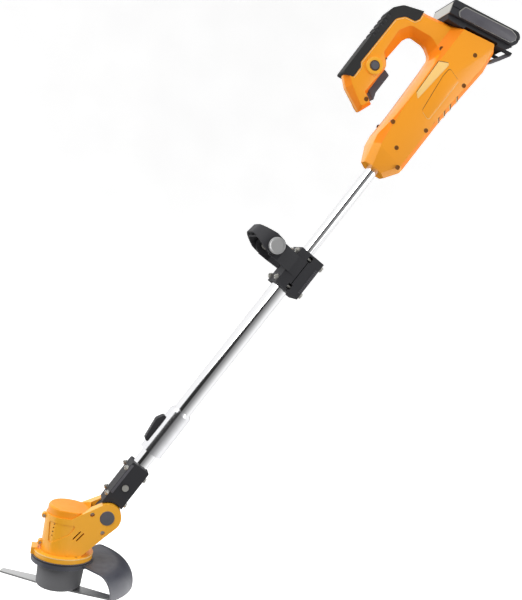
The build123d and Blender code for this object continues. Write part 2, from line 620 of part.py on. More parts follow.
# ---- telescoping pole -------------------------------------------------------------------------
def make_pole():
    """The three tubes, the lock sleeve with its slider and guide bush, and the reducer bush."""
    with BuildPart() as inner:
        add(tube(POLE, INNER_TUBE_R, INNER_TUBE_FOOT, INNER_TUBE_TOP))
        add(bar(POLE_SIDE, (0, CROSS_BOLT_W), CROSS_BOLT_R, -30, 30), mode=Mode.SUBTRACT)
        for hole in range(DETENTS):
            place = (0, SLIDER_FOOT_W + 3 + hole * DETENT_PITCH)
            add(bar(ACROSS, place, 3.2, -INNER_TUBE_R - 1, 0), mode=Mode.SUBTRACT)
    save(inner, "inner_tube")
    foot = SLEEVE_FOOT + GUIDE_LENGTH
    low = (-SLEEVE_R - 2, SLIDER_FOOT_W - 1)
    high = (-INNER_TUBE_R + 2, SLIDER_FOOT_W + SLIDER_FOOT_LENGTH + SLIDER_TRAVEL + 1)
    slot = block(POLE_SIDE, low, high, -2.6, 2.6)
    with BuildPart() as outer:
        add(tube(POLE, OUTER_TUBE_R, foot, OUTER_TUBE_TOP))
        add(slot, mode=Mode.SUBTRACT)
    save(outer, "outer_tube")
    save_all([ring(POLE, (0, 0), OUTER_TUBE_R, INNER_TUBE_R + GAP, SLEEVE_FOOT, foot)], "guide_bush")
    with BuildPart() as sleeve:
        add(ring(POLE, (0, 0), SLEEVE_R, OUTER_TUBE_R, SLEEVE_FOOT, SLEEVE_TOP))
        rims = sleeve.edges().filter_by(GeomType.CIRCLE).sort_by(Axis(POLE_FOOT, W_DIR))
        outer_rim = rims[-2:].sort_by(SortBy.RADIUS)[-1]
        outside = sleeve.faces().filter_by(GeomType.CYLINDER).sort_by(SortBy.AREA)[-1]
        chamfer(outer_rim, 5.0, SLEEVE_WALL - 0.8, reference=outside)
        add(slot, mode=Mode.SUBTRACT)
    save(sleeve, "lock_sleeve")
    profile = [(-8, 121), (-SLEEVE_R - 3.3, 124.5), (-SLEEVE_R - SLIDER_HEIGHT, 159), (-SLEEVE_R - 1.8, 170),
               (-8, 170)]
    with BuildPart() as slider:
        add(slab(POLE_SIDE, profile, -8, 8, radius=[0.5, 2.5, 3, 3, 0.5]))
        add(bar(POLE, (0, 0), SLEEVE_R + GAP, 100, 200), mode=Mode.SUBTRACT)
        foot_low = (-SLEEVE_R - 1, SLIDER_FOOT_W)
        foot_high = (-INNER_TUBE_R - 0.6, SLIDER_FOOT_W + SLIDER_FOOT_LENGTH)
        add(block(POLE_SIDE, foot_low, foot_high, -2.2, 2.2))
    save(slider, "lock_slider")
    save_all([tube(POLE, UPPER_TUBE_R, UPPER_TUBE_FOOT, UPPER_TUBE_TOP)], "upper_tube")
    with BuildPart() as bush:
        add(ring(POLE, (0, 0), OUTER_TUBE_R - TUBE_WALL, UPPER_TUBE_R, UPPER_TUBE_FOOT, OUTER_TUBE_TOP))
        add(ring(POLE, (0, 0), OUTER_TUBE_R, UPPER_TUBE_R, OUTER_TUBE_TOP, CLAMP_TOP))
    save(bush, "reducer_bush")


# ---- front handle -----------------------------------------------------------------------------
def make_handle_clamp():
    """Saddle with the yoke's two arms, cap, four bolts and nuts."""
    bolts = [(y, w) for y in (-CLAMP_BOLT_Y, CLAMP_BOLT_Y)
             for w in (CLAMP_FOOT + CLAMP_BOLT_INSET, CLAMP_TOP - CLAMP_BOLT_INSET)]
    bore = bar(POLE, (0, 0), OUTER_TUBE_R, CLAMP_FOOT - 1, CLAMP_TOP + 1)

    def drill():
        """Bore and bolt holes, and the pocket at the parting line that bares each bolt."""
        add(bore, mode=Mode.SUBTRACT)
        for y, w in bolts:
            add(bar(ACROSS, (y, w), CLAMP_BOLT_R, -60, 60), mode=Mode.SUBTRACT)
            outward = 1 if y > 0 else -1
            near, far = outward * (CLAMP_BOLT_Y - 4), outward * (CLAMP_HALF_Y + 3)
            low = (w - CLAMP_POCKET / 2, min(near, far))
            high = (w + CLAMP_POCKET / 2, max(near, far))
            pocket = Plane(origin=POLE_FOOT, x_dir=W_DIR, z_dir=U_DIR)
            add(block(pocket, (low[0], -high[1]), (high[0], -low[1]), 1.0, 8.0), mode=Mode.SUBTRACT)

    with BuildPart() as saddle:
        low, high = (-CLAMP_BACK, CLAMP_FOOT), (CLAMP_SPLIT, CLAMP_TOP)
        add(block(POLE_SIDE, low, high, -CLAMP_HALF_Y, CLAMP_HALF_Y))
        for side in (-1, 1):
            outer, inner = side * YOKE_OUTER, side * (YOKE_OUTER - YOKE_THICK)
            arm = [(CLAMP_SPLIT, side * (CLAMP_HALF_Y - 9)), (CLAMP_SPLIT, side * CLAMP_HALF_Y),
                   (-12, side * (CLAMP_HALF_Y + 1.5)), (SWING_U + 16, outer), (SWING_U, outer),
                   (SWING_U, inner), (SWING_U + 18, inner), (-CLAMP_BACK - 1, side * (CLAMP_HALF_Y - 7))]
            add(slab(POLE.offset(YOKE_W), arm, -YOKE_HEIGHT / 2, YOKE_HEIGHT / 2))
            eye = sorted((outer, inner))
            add(bar(POLE_SIDE, (SWING_U, SWING_W), LOOP_EYE_R, eye[0], eye[1]))
        add(bar(POLE_SIDE, (SWING_U, SWING_W), SWING_PIN_R, -60, 60), mode=Mode.SUBTRACT)
        drill()
    save(saddle, "handle_yoke")
    with BuildPart() as cap:
        low = CLAMP_SPLIT + CLAMP_SLIT
        add(block(POLE_SIDE, (low, CLAMP_FOOT), (CLAMP_FRONT, CLAMP_TOP), -CLAMP_HALF_Y, CLAMP_HALF_Y))
        fillet(cap.edges().filter_by(Axis(POLE_FOOT, W_DIR)).sort_by(Axis(POLE_FOOT, U_DIR))[-2:], 3)
        drill()
    save(cap, "handle_clamp_cap")
    screws, nuts = [], []
    for place in bolts:
        with BuildPart() as screw:
            add(bar(ACROSS, place, 4.4, CLAMP_FRONT, CLAMP_FRONT + 3.2))
            add(bar(ACROSS, place, CLAMP_BOLT_R, -CLAMP_BACK - 6, CLAMP_FRONT + 1))
        screws.append(screw.part)
        with BuildPart() as nut:
            add(hexagon(ACROSS, place, 5.0, -CLAMP_BACK - 4, -CLAMP_BACK))
            add(bar(ACROSS, place, CLAMP_BOLT_R, -60, 0), mode=Mode.SUBTRACT)
        nuts.append(nut.part)
    save_all(screws, "handle_clamp_bolts")
    save_all(nuts, "handle_clamp_nuts")


def make_loop():
    """Closed loop for the guiding hand, open underneath at its outer end, and its two swing knobs."""
    half = LOOP_HALF
    inner = YOKE_OUTER + GAP
    rim = [(0, -half), (-LOOP_REACH, -half), (-LOOP_REACH, half), (0, half)]
    reach = -LOOP_REACH + LOOP_BAR
    hole = [(LOOP_EYE_R, -inner), (reach, -inner), (reach, inner), (LOOP_EYE_R, inner)]
    with BuildPart() as loop:
        add(slab(LOOP_UP, rim, -LOOP_HEIGHT / 2, LOOP_HEIGHT / 2, radius=[0.5, 30, 30, 0.5]))
        for side in (-1, 1):
            span = sorted((side * inner, side * half))
            add(bar(LOOP_SIDE, (0, 0), LOOP_EYE_R, span[0], span[1]))
        add(slab(LOOP_UP, hole, -LOOP_HEIGHT, LOOP_HEIGHT, radius=[0.5, 12, 12, 0.5]), mode=Mode.SUBTRACT)
        add(bar(LOOP_SIDE, (0, 0), SWING_PIN_R + RUN_FIT, -60, 60), mode=Mode.SUBTRACT)
        with BuildSketch(LOOP_UP.offset(-LOOP_HEIGHT / 2)):
            with BuildLine():
                outer = [(-6, -half + LOOP_SKIN), (-LOOP_REACH + LOOP_SKIN, -half + LOOP_SKIN),
                         (-LOOP_REACH + LOOP_SKIN, half - LOOP_SKIN), (-6, half - LOOP_SKIN)]
                FilletPolyline(*outer, radius=[0.5, 28, 28, 0.5], close=True)
            make_face()
            with BuildLine():
                core = [(0, -inner - LOOP_SKIN), (reach - LOOP_SKIN, -inner - LOOP_SKIN),
                        (reach - LOOP_SKIN, inner + LOOP_SKIN), (0, inner + LOOP_SKIN)]
                FilletPolyline(*core, radius=[0.5, 14, 14, 0.5], close=True)
            make_face(mode=Mode.SUBTRACT)
            with Locations((-4, 0)):
                Rectangle(26, 2 * half + 2, mode=Mode.SUBTRACT)
            for turn in range(-4, 5):
                with Locations(Location((-12, 0), turn * 22 + 90)):
                    Rectangle(2 * half + 20, 1.8, align=(Align.CENTER, Align.CENTER), mode=Mode.SUBTRACT)
        extrude(amount=LOOP_HEIGHT - LOOP_TAPER - 4, mode=Mode.SUBTRACT)
        for face in (-1, 1):
            high = face * LOOP_HEIGHT / 2
            wedge = [(-LOOP_SHOULDER, high), (-LOOP_REACH - 1, high - face * LOOP_TAPER),
                     (-LOOP_REACH - 1, high + face * 5), (-LOOP_SHOULDER, high + face * 5)]
            add(slab(LOOP_SIDE, wedge, -LOOP_HALF - 1, LOOP_HALF + 1), mode=Mode.SUBTRACT)
    save(loop, "front_handle_loop")
    nut_face = YOKE_OUTER - YOKE_THICK - NUT_HEIGHT
    knobs, nuts = [], []
    for side in (-1, 1):
        with BuildPart() as knob:
            face = sorted((side * (LOOP_HALF + GAP), side * (LOOP_HALF + GAP + KNOB_THICK)))
            shank = sorted((side * (nut_face - 0.5), side * (LOOP_HALF + GAP + 1)))
            add(bar(POLE_SIDE, (SWING_U, SWING_W), KNOB_R, face[0], face[1]))
            add(bar(POLE_SIDE, (SWING_U, SWING_W), SWING_PIN_R, shank[0], shank[1]))
        knobs.append(knob.part)
        with BuildPart() as nut:
            face = sorted((side * nut_face, side * (YOKE_OUTER - YOKE_THICK)))
            add(hexagon(POLE_SIDE, (SWING_U, SWING_W), 7.2, face[0], face[1]))
            add(bar(POLE_SIDE, (SWING_U, SWING_W), SWING_PIN_R, -60, 60), mode=Mode.SUBTRACT)
        nuts.append(nut.part)
    save_all(knobs, "swing_knobs")
    save_all(nuts, "swing_nuts")


# ---- rear housing -----------------------------------------------------------------------------

def outline_solid(points, corners, half, inset=0.0):
    """Solid of one side outline, of the given half thickness, shrunk by an inset."""
    with BuildPart() as made:
        with BuildSketch(POLE_SIDE):
            with BuildLine():
                FilletPolyline(*points, radius=corners, close=True)
            make_face()
            if inset:
                offset(amount=-inset, kind=Kind.INTERSECTION)
        extrude(amount=half, both=True)
    return made.part


def body_form(inset=0.0):
    """Rear body and neck, with its thickness eased towards the grip and its belly rounded."""
    half, grip = BODY_HALF - inset, GRIP_HALF - inset
    belly = 39.5 - inset
    plan = [(belly, -half + 12), (30 - inset, -half), (-31, -half), (-46, -grip), (-150, -grip),
            (-150, grip), (-46, grip), (-31, half), (30 - inset, half), (belly, half - 12)]
    with BuildPart() as form:
        add(outline_solid(BODY_OUTLINE, BODY_CORNERS, half, inset))
        with BuildSketch(POLE.offset(MOUTH_W - 10)):
            with BuildLine():
                FilletPolyline(*plan, radius=[4, 10, 10, 10, 1, 1, 10, 10, 10, 4], close=True)
            make_face()
        extrude(amount=400, mode=Mode.INTERSECT)
    return form.part


def mouth_cut():
    """What is trimmed from the body so that it narrows to a round mouth."""
    with BuildPart() as cut:
        add(bar(POLE, (0, 0), 80, MOUTH_W - 5, MOUTH_W + MOUTH_LENGTH))
        with BuildSketch(POLE.offset(MOUTH_W - 5)):
            Circle(MOUTH_R)
        with BuildSketch(POLE.offset(MOUTH_W + MOUTH_LENGTH)):
            Circle(BODY_HALF + 9)
        loft(mode=Mode.SUBTRACT)
    return cut.part


def trigger_pocket():
    """Slot in the grip's inner edge that the trigger slides in."""
    return block(POLE_SIDE, (-106, 757.5), (-80, 804.5), -TRIGGER_HALF - GAP, TRIGGER_HALF + GAP)


def grip_ribs():
    """Grooves across the outer edge of the grip skin."""
    with BuildPart() as ribs:
        for step in range(RIB_COUNT):
            w = 829 + step * RIB_PITCH
            add(block(POLE_SIDE, (-145, w), (-134.8, w + 4.2), -GRIP_HALF - 2, GRIP_HALF + 2))
    return ribs.part


def rear_hollow():
    """Inside of the rear housing: walls, a rib that holds the tube, and a boss at each screw."""
    with BuildPart() as hollow:
        add(outline_solid(REAR_OUTLINE, REAR_CORNERS, GRIP_HALF - SKIN - 2, SKIN + 2))
        add(body_form(WALL))
        add(bar(POLE, (0, 0), 80, MOUTH_W - 5, MOUTH_W + MOUTH_LENGTH + WALL), mode=Mode.SUBTRACT)
        add(ring(POLE, (0, 0), 80, UPPER_TUBE_R, TUBE_RIB_W, TUBE_RIB_W + 5), mode=Mode.SUBTRACT)
        for place in GRIP_SCREWS:
            add(bar(POLE_SIDE, place, SCREW_HEAD_R + 2, -80, 80), mode=Mode.SUBTRACT)
    return hollow.part


def make_rear_housing():
    """Two moulded halves with the grip, the soft skin on the grip, and their screws."""
    skin_zone = slab(POLE_SIDE, SKIN_OUTLINE, -GRIP_HALF - 2, GRIP_HALF + 2)
    grip_core = outline_solid(REAR_OUTLINE, REAR_CORNERS, GRIP_HALF - SKIN, SKIN)
    with BuildPart() as skin:
        add(outline_solid(REAR_OUTLINE, REAR_CORNERS, GRIP_HALF))
        add(skin_zone, mode=Mode.INTERSECT)
        add(grip_core, mode=Mode.SUBTRACT)
        add(grip_ribs(), mode=Mode.SUBTRACT)
    save(skin, "grip_skin")
    with BuildPart() as whole:
        add(outline_solid(REAR_OUTLINE, REAR_CORNERS, GRIP_HALF))
        add(skin_zone, mode=Mode.SUBTRACT)
        add(grip_core)
        add(body_form())
        add(mouth_cut(), mode=Mode.SUBTRACT)
        add(rear_hollow(), mode=Mode.SUBTRACT)
        add(bar(POLE, (0, 0), UPPER_TUBE_R, MOUTH_W - 10, UPPER_TUBE_TOP), mode=Mode.SUBTRACT)
        add(trigger_pocket(), mode=Mode.SUBTRACT)
        add(bar(POLE_SIDE, (LOCK_U, LOCK_W), LOCK_BEZEL_R, GRIP_HALF - 3, 40), mode=Mode.SUBTRACT)
        add(bar(POLE_SIDE, (LOCK_U, LOCK_W), 4.0, GRIP_HALF - 12, 40), mode=Mode.SUBTRACT)
        for place in GRIP_SCREWS:
            depth = screw_face(place)
            add(bar(POLE_SIDE, place, SCREW_HEAD_R, depth - SCREW_SINK, 60), mode=Mode.SUBTRACT)
            add(bar(POLE_SIDE, place, SCREW_R, screw_end(place), 60), mode=Mode.SUBTRACT)
        for step in range(VENT_COUNT):
            w = VENT_W + VENT_PITCH * step
            vent = [(16, w), (50, w - 4), (50, w - 0.5), (16, w + 3.5)]
            for side in (-1, 1):
                span = sorted((side * (BODY_HALF - 14), side * (BODY_HALF + 2)))
                add(slab(POLE_SIDE, vent, span[0], span[1]), mode=Mode.SUBTRACT)
    for name, keep in (("rear_housing_left", Keep.TOP), ("rear_housing_right", Keep.BOTTOM)):
        with BuildPart() as half:
            add(whole.part)
            split(bisect_by=POLE_SIDE, keep=keep)
        save(half, name)
    screws = []
    for place in GRIP_SCREWS:
        depth = screw_face(place)
        with BuildPart() as screw:
            add(bar(POLE_SIDE, place, SCREW_HEAD_R - 0.2, depth - SCREW_SINK, depth - SCREW_SINK + 2.4))
            add(bar(POLE_SIDE, place, SCREW_R, screw_end(place), depth - SCREW_SINK + 1))
        screws.append(screw.part)
    save_all(screws, "rear_housing_screws")


def screw_face(place):
    """Half thickness of the housing where a screw goes in."""
    return GRIP_HALF if place[0] < -60 else BODY_HALF - 4


def screw_end(place):
    """How far in a screw goes: most of the way across, or short of the tube."""
    over_tube = abs(place[0]) < UPPER_TUBE_R + SCREW_R and place[1] < UPPER_TUBE_TOP
    return UPPER_TUBE_R + 2.5 if over_tube else -screw_face(place) + SCREW_SINK + 4


def make_controls():
    """Trigger, lock-off button, their springs and bezel, switch and control board."""
    profile = [(-100, 760.5), (-84.6, 760.5), (-69.7, 753.6), (-74.5, 766), (-74.8, 801), (-84, 803),
               (-100, 803)]
    with BuildPart() as trigger:
        add(slab(POLE_SIDE, profile, -TRIGGER_HALF, TRIGGER_HALF, radius=[0.5, 0.5, 1, 4, 2, 0.5, 0.5]))
        add(bar(ACROSS, (0, 781), 4.6, -101, -97 + TRIGGER_TRAVEL + 2), mode=Mode.SUBTRACT)
    save(trigger, "trigger")
    save_all([coil(ACROSS, (0, 781), 3.6, 0.6, -105.4, 7.8, 4)], "trigger_spring")
    lock = (LOCK_U, LOCK_W)
    bezel = ring(POLE_SIDE, lock, LOCK_BEZEL_R, LOCK_BUTTON_R + RUN_FIT, GRIP_HALF - 3, GRIP_HALF + 2.6)
    save_all([bezel], "lock_off_bezel")
    with BuildPart() as button:
        start = GRIP_HALF - 3 + BUTTON_TRAVEL + 0.3
        add(bar(POLE_SIDE, lock, LOCK_BUTTON_R, start, GRIP_HALF + 4))
        add(bar(POLE_SIDE, lock, 2.2, GRIP_HALF - 7, start + 1))
    save(button, "lock_off_button")
    save_all([block(POLE_SIDE, (-121, 766), (-106.6, 786), -7, 7)], "power_switch")
    save_all([block(ACROSS, (-24, 785), (24, 865), 12, 13.6)], "control_board")


# ---- battery ----------------------------------------------------------------------------------
def make_battery():
    """Foot on the body, the slide-on pack with its cells, and the release lever."""
    half = BATTERY_LENGTH / 2
    foot = [(-half, 0), (-half + 3, -7), (-36, -FOOT_HEIGHT), (half - 14, -FOOT_HEIGHT), (half - 4, 0)]
    low, high = (-half + 22, -RAIL_HEIGHT - GAP), (half + 5, 1)
    channel = block(BATTERY_SIDE, low, high, -RAIL_HALF - GAP, RAIL_HALF + GAP)
    with BuildPart() as adapter:
        add(slab(BATTERY_SIDE, foot, -BODY_HALF + 1, BODY_HALF - 1))
        for side in (-1, 1):
            span = sorted((side * CHEEK_Y, side * (CHEEK_Y + 4)))
            cheek = [(half - 20, -FOOT_HEIGHT), (half + 1, -FOOT_HEIGHT), (half + 3.5, -FOOT_HEIGHT + 1.5),
                     (half + 3.5, -RAIL_HEIGHT - GAP), (half - 20, -RAIL_HEIGHT - GAP)]
            add(slab(BATTERY_SIDE, cheek, *span))
        add(channel, mode=Mode.SUBTRACT)
        add(bar(BATTERY_SIDE, (half + HINGE_E, HINGE_N), 1.5, -CHEEK_Y - 3, CHEEK_Y + 3), mode=Mode.SUBTRACT)
        add(body_form(), mode=Mode.SUBTRACT)
    save(adapter, "battery_foot")
    with BuildPart() as terminals:
        add(block(BATTERY_SIDE, (-half + 22, -RAIL_HEIGHT - GAP), (-half + 28, -1), -16, 16))
        for y in (-10, 0, 10):
            add(block(BATTERY_SIDE, (-half + 27, -RAIL_HEIGHT + 0.6), (-half + 38, -1.2), y - 0.4, y + 0.4))
    save(terminals, "terminal_block")
    seam = BATTERY_HEIGHT * 0.5
    pack = [(-half, GAP), (half, GAP), (half, BATTERY_HEIGHT), (-half, BATTERY_HEIGHT)]
    lip = BATTERY_HEIGHT - 2
    inner = [(-half + 2, 2.2), (half - 2, 2.2), (half - 2, lip), (-half + 2, lip)]
    inside = BATTERY_HALF_Y - 2.2
    seat = Plane(origin=BATTERY_SIDE.from_local_coords((0, seam, 0)), z_dir=BATTERY_SIDE.y_dir)
    with BuildPart() as case:
        add(slab(BATTERY_SIDE, pack, -BATTERY_HALF_Y, BATTERY_HALF_Y, radius=[2, 9, 9, 2]))
        add(slab(BATTERY_SIDE, inner, -inside, inside, radius=[1, 7, 7, 1]), mode=Mode.SUBTRACT)
    with BuildPart() as lower:
        add(case.part)
        split(bisect_by=seat, keep=Keep.BOTTOM)
        add(block(BATTERY_SIDE, (-half + 40, -RAIL_HEIGHT), (half - 16, GAP), -RAIL_HALF, RAIL_HALF))
        for y in (-10, 0, 10):
            low, high = (-half + 39, -RAIL_HEIGHT), (-half + 52, 0)
            add(block(BATTERY_SIDE, low, high, y - 1.2, y + 1.2), mode=Mode.SUBTRACT)
    save(lower, "battery_lower_case")
    with BuildPart() as upper:
        add(case.part)
        split(bisect_by=seat, keep=Keep.TOP)
    save(upper, "battery_upper_case")
    pitch = (BATTERY_LENGTH - 4 - 2 * CELL_R - 4) / (CELL_COUNT - 1)
    cells = []
    for step in range(CELL_COUNT):
        place = (-half + 4 + CELL_R + step * pitch, (BATTERY_HEIGHT + 0.2) / 2)
        cells.append(bar(BATTERY_SIDE, place, CELL_R, -CELL_LENGTH / 2, CELL_LENGTH / 2))
    save_all(cells, "battery_cells")
    hinge = (half + HINGE_E, HINGE_N)
    top = -RAIL_HEIGHT - 2 * GAP
    lever = [(half + 4.3, top), (half + 5, -8), (half - 9, -21), (half - 22, -30), (half - 24, -27),
             (half - 13, -17.5), (half - 3, -8), (half - 1.5, top)]
    with BuildPart() as release:
        add(slab(BATTERY_SIDE, lever, -16, 16, radius=[1, 3, 8, 1, 1, 8, 2, 1]))
        add(bar(BATTERY_SIDE, hinge, 1.5 + RUN_FIT, -20, 20), mode=Mode.SUBTRACT)
    save(release, "battery_release")
    with BuildPart() as pin:
        add(bar(BATTERY_SIDE, hinge, 1.5, -CHEEK_Y - 3, CHEEK_Y + 3))
    save(pin, "release_hinge")


make_head_housing()
make_head_cap()
make_head_screws()
make_pivot()
make_flange_and_guard()
make_rotor(*make_motor())
make_knuckle()
make_clamp_block()
make_pole()
make_handle_clamp()
make_loop()
make_rear_housing()
make_controls()
make_battery()
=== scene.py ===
"""Looks of a cordless lawn edger: moulded housings, finishes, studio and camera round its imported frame.

Pieces are drawn in millimetres in a working frame and placed in metres in the part's frame. In the
pole frame x runs to the pole's underside, y across the tool and z up the pole. In the head frame z
runs up the spindle from the blade's underside. In the battery frame x runs along the pack and z away
from its seat.
"""

import json
import logging
import math
from collections.abc import Callable
from dataclasses import dataclass, field
from enum import Enum

import bmesh
import bpy
from mathutils import Matrix, Vector

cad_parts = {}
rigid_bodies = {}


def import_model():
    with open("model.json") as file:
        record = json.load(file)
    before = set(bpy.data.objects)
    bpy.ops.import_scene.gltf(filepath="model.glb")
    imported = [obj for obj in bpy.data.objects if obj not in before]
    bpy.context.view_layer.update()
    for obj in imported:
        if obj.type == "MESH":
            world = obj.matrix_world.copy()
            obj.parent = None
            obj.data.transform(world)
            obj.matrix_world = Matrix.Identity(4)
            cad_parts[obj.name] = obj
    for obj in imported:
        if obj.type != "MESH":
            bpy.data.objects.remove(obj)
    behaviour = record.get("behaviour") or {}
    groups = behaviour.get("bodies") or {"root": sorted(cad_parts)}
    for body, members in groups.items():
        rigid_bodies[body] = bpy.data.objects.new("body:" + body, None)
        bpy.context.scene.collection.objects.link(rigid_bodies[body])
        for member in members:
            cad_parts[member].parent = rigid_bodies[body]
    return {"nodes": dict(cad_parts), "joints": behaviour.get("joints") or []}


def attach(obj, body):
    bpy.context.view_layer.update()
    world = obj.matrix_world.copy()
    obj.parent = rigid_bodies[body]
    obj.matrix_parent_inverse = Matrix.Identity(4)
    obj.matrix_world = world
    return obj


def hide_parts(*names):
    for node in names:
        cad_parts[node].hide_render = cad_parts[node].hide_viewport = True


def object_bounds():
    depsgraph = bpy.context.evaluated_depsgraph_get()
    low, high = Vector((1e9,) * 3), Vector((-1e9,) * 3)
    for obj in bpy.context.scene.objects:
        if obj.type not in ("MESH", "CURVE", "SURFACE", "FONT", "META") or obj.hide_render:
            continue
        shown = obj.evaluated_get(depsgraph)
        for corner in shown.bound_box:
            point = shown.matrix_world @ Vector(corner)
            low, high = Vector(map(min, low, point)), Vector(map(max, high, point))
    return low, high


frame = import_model()
CAD_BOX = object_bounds()
LOG = logging.getLogger("lawn_edger")
MM = 0.001
Colour = tuple[float, float, float]
Point = tuple[float, float]
Socket = bpy.types.NodeSocket


class Body(Enum):
    """Rigid bodies that a piece can ride on."""

    REAR = "rear_body"
    POLE = "lower_pole"
    HEAD = "head"
    SLIDER = "lock_slider"
    LOCK_OFF = "lock_off"
    BATTERY = "battery"


class Axis(Enum):
    """Axis of a working frame along which a profile is drawn out or turned."""

    X = 0
    Y = 1
    Z = 2

    def unit(self) -> Vector:
        """Unit vector of the axis."""
        return Vector([float(self.value == i) for i in range(3)])


# ---- working frames ---------------------------------------------------------------------------
def joint(name: str) -> dict:
    """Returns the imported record's joint of that name."""
    return next(j for j in frame["joints"] if j["name"] == name)


def axes(x: Vector, z: Vector, origin: Vector) -> Matrix:
    """Frame matrix from two axes and an origin.

    Args:
        x: direction of the frame's x axis.
        z: direction of the frame's z axis.
        origin: where the frame starts, in metres.

    Returns:
        The matrix that takes the frame's metres to the part's.
    """
    y = z.cross(x)
    turn = Matrix((x, y, z)).transposed().to_4x4()
    return Matrix.Translation(origin) @ turn


@dataclass(frozen=True)
class Frames:
    """The working frames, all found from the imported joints.

    Attributes:
        pivot_offset: tilt pivot from the pole's axis, mm.
        battery_at: middle of the battery's seat in the pole frame, mm.
        battery_tilt: battery's length from the pole's cross direction, degrees.
    """

    pivot_offset: float = 5.0
    battery_at: Point = (-7.0, 947.0)
    battery_tilt: float = 17.0

    @property
    def up_pole(self) -> Vector:
        """Direction up the pole."""
        return -Vector(joint("telescope")["axis"]).normalized()

    @property
    def under_pole(self) -> Vector:
        """Direction from the pole's axis to its underside."""
        return Vector((0, 1, 0)).cross(self.up_pole).normalized()

    @property
    def pole(self) -> Matrix:
        """Frame of the pole, handle, housing and grip."""
        pivot = Vector(joint("head_tilt")["pos_m"])
        return axes(self.under_pole, self.up_pole, pivot - self.under_pole * self.pivot_offset * MM)

    @property
    def head(self) -> Matrix:
        """Frame of the cutter head, on the spindle."""
        return axes(Vector((1, 0, 0)), Vector((0, 0, 1)), Vector(joint("blade_spin")["pos_m"]))

    @property
    def battery(self) -> Matrix:
        """Frame of the battery pack, on its seat."""
        u, w = self.battery_at
        turn = math.radians(self.battery_tilt)
        x = self.under_pole * math.cos(turn) + self.up_pole * math.sin(turn)
        z = self.up_pole * math.cos(turn) - self.under_pole * math.sin(turn)
        return axes(x, z, self.pole @ Vector((u * MM, 0, w * MM)))


FRAMES = Frames()
POLE, HEAD, BATTERY = FRAMES.pole, FRAMES.head, FRAMES.battery
SIDES = {-1: "near", 1: "far"}


# ---- finishes ---------------------------------------------------------------------------------
def fill_inputs(tree: bpy.types.NodeTree, node: bpy.types.Node, inputs: dict) -> None:
    """Joins or sets a node's inputs.

    Args:
        tree: the tree that the node is in.
        node: the node.
        inputs: a socket to join or a value to set, by input name or number.
    """
    for name, value in inputs.items():
        if isinstance(value, Socket):
            tree.links.new(value, node.inputs[name])
        else:
            node.inputs[name].default_value = value


def add_node(tree: bpy.types.NodeTree, kind: str, inputs: dict, **settings: str | int) -> bpy.types.Node:
    """Adds a node to a tree.

    Args:
        tree: the tree.
        kind: the node's type, without its ShaderNode prefix.
        inputs: a socket or a value for each input.
        settings: the node's own properties.

    Returns:
        The node.
    """
    node = tree.nodes.new(f"ShaderNode{kind}")
    for name, value in settings.items():
        setattr(node, name, value)
    fill_inputs(tree, node, inputs)
    return node


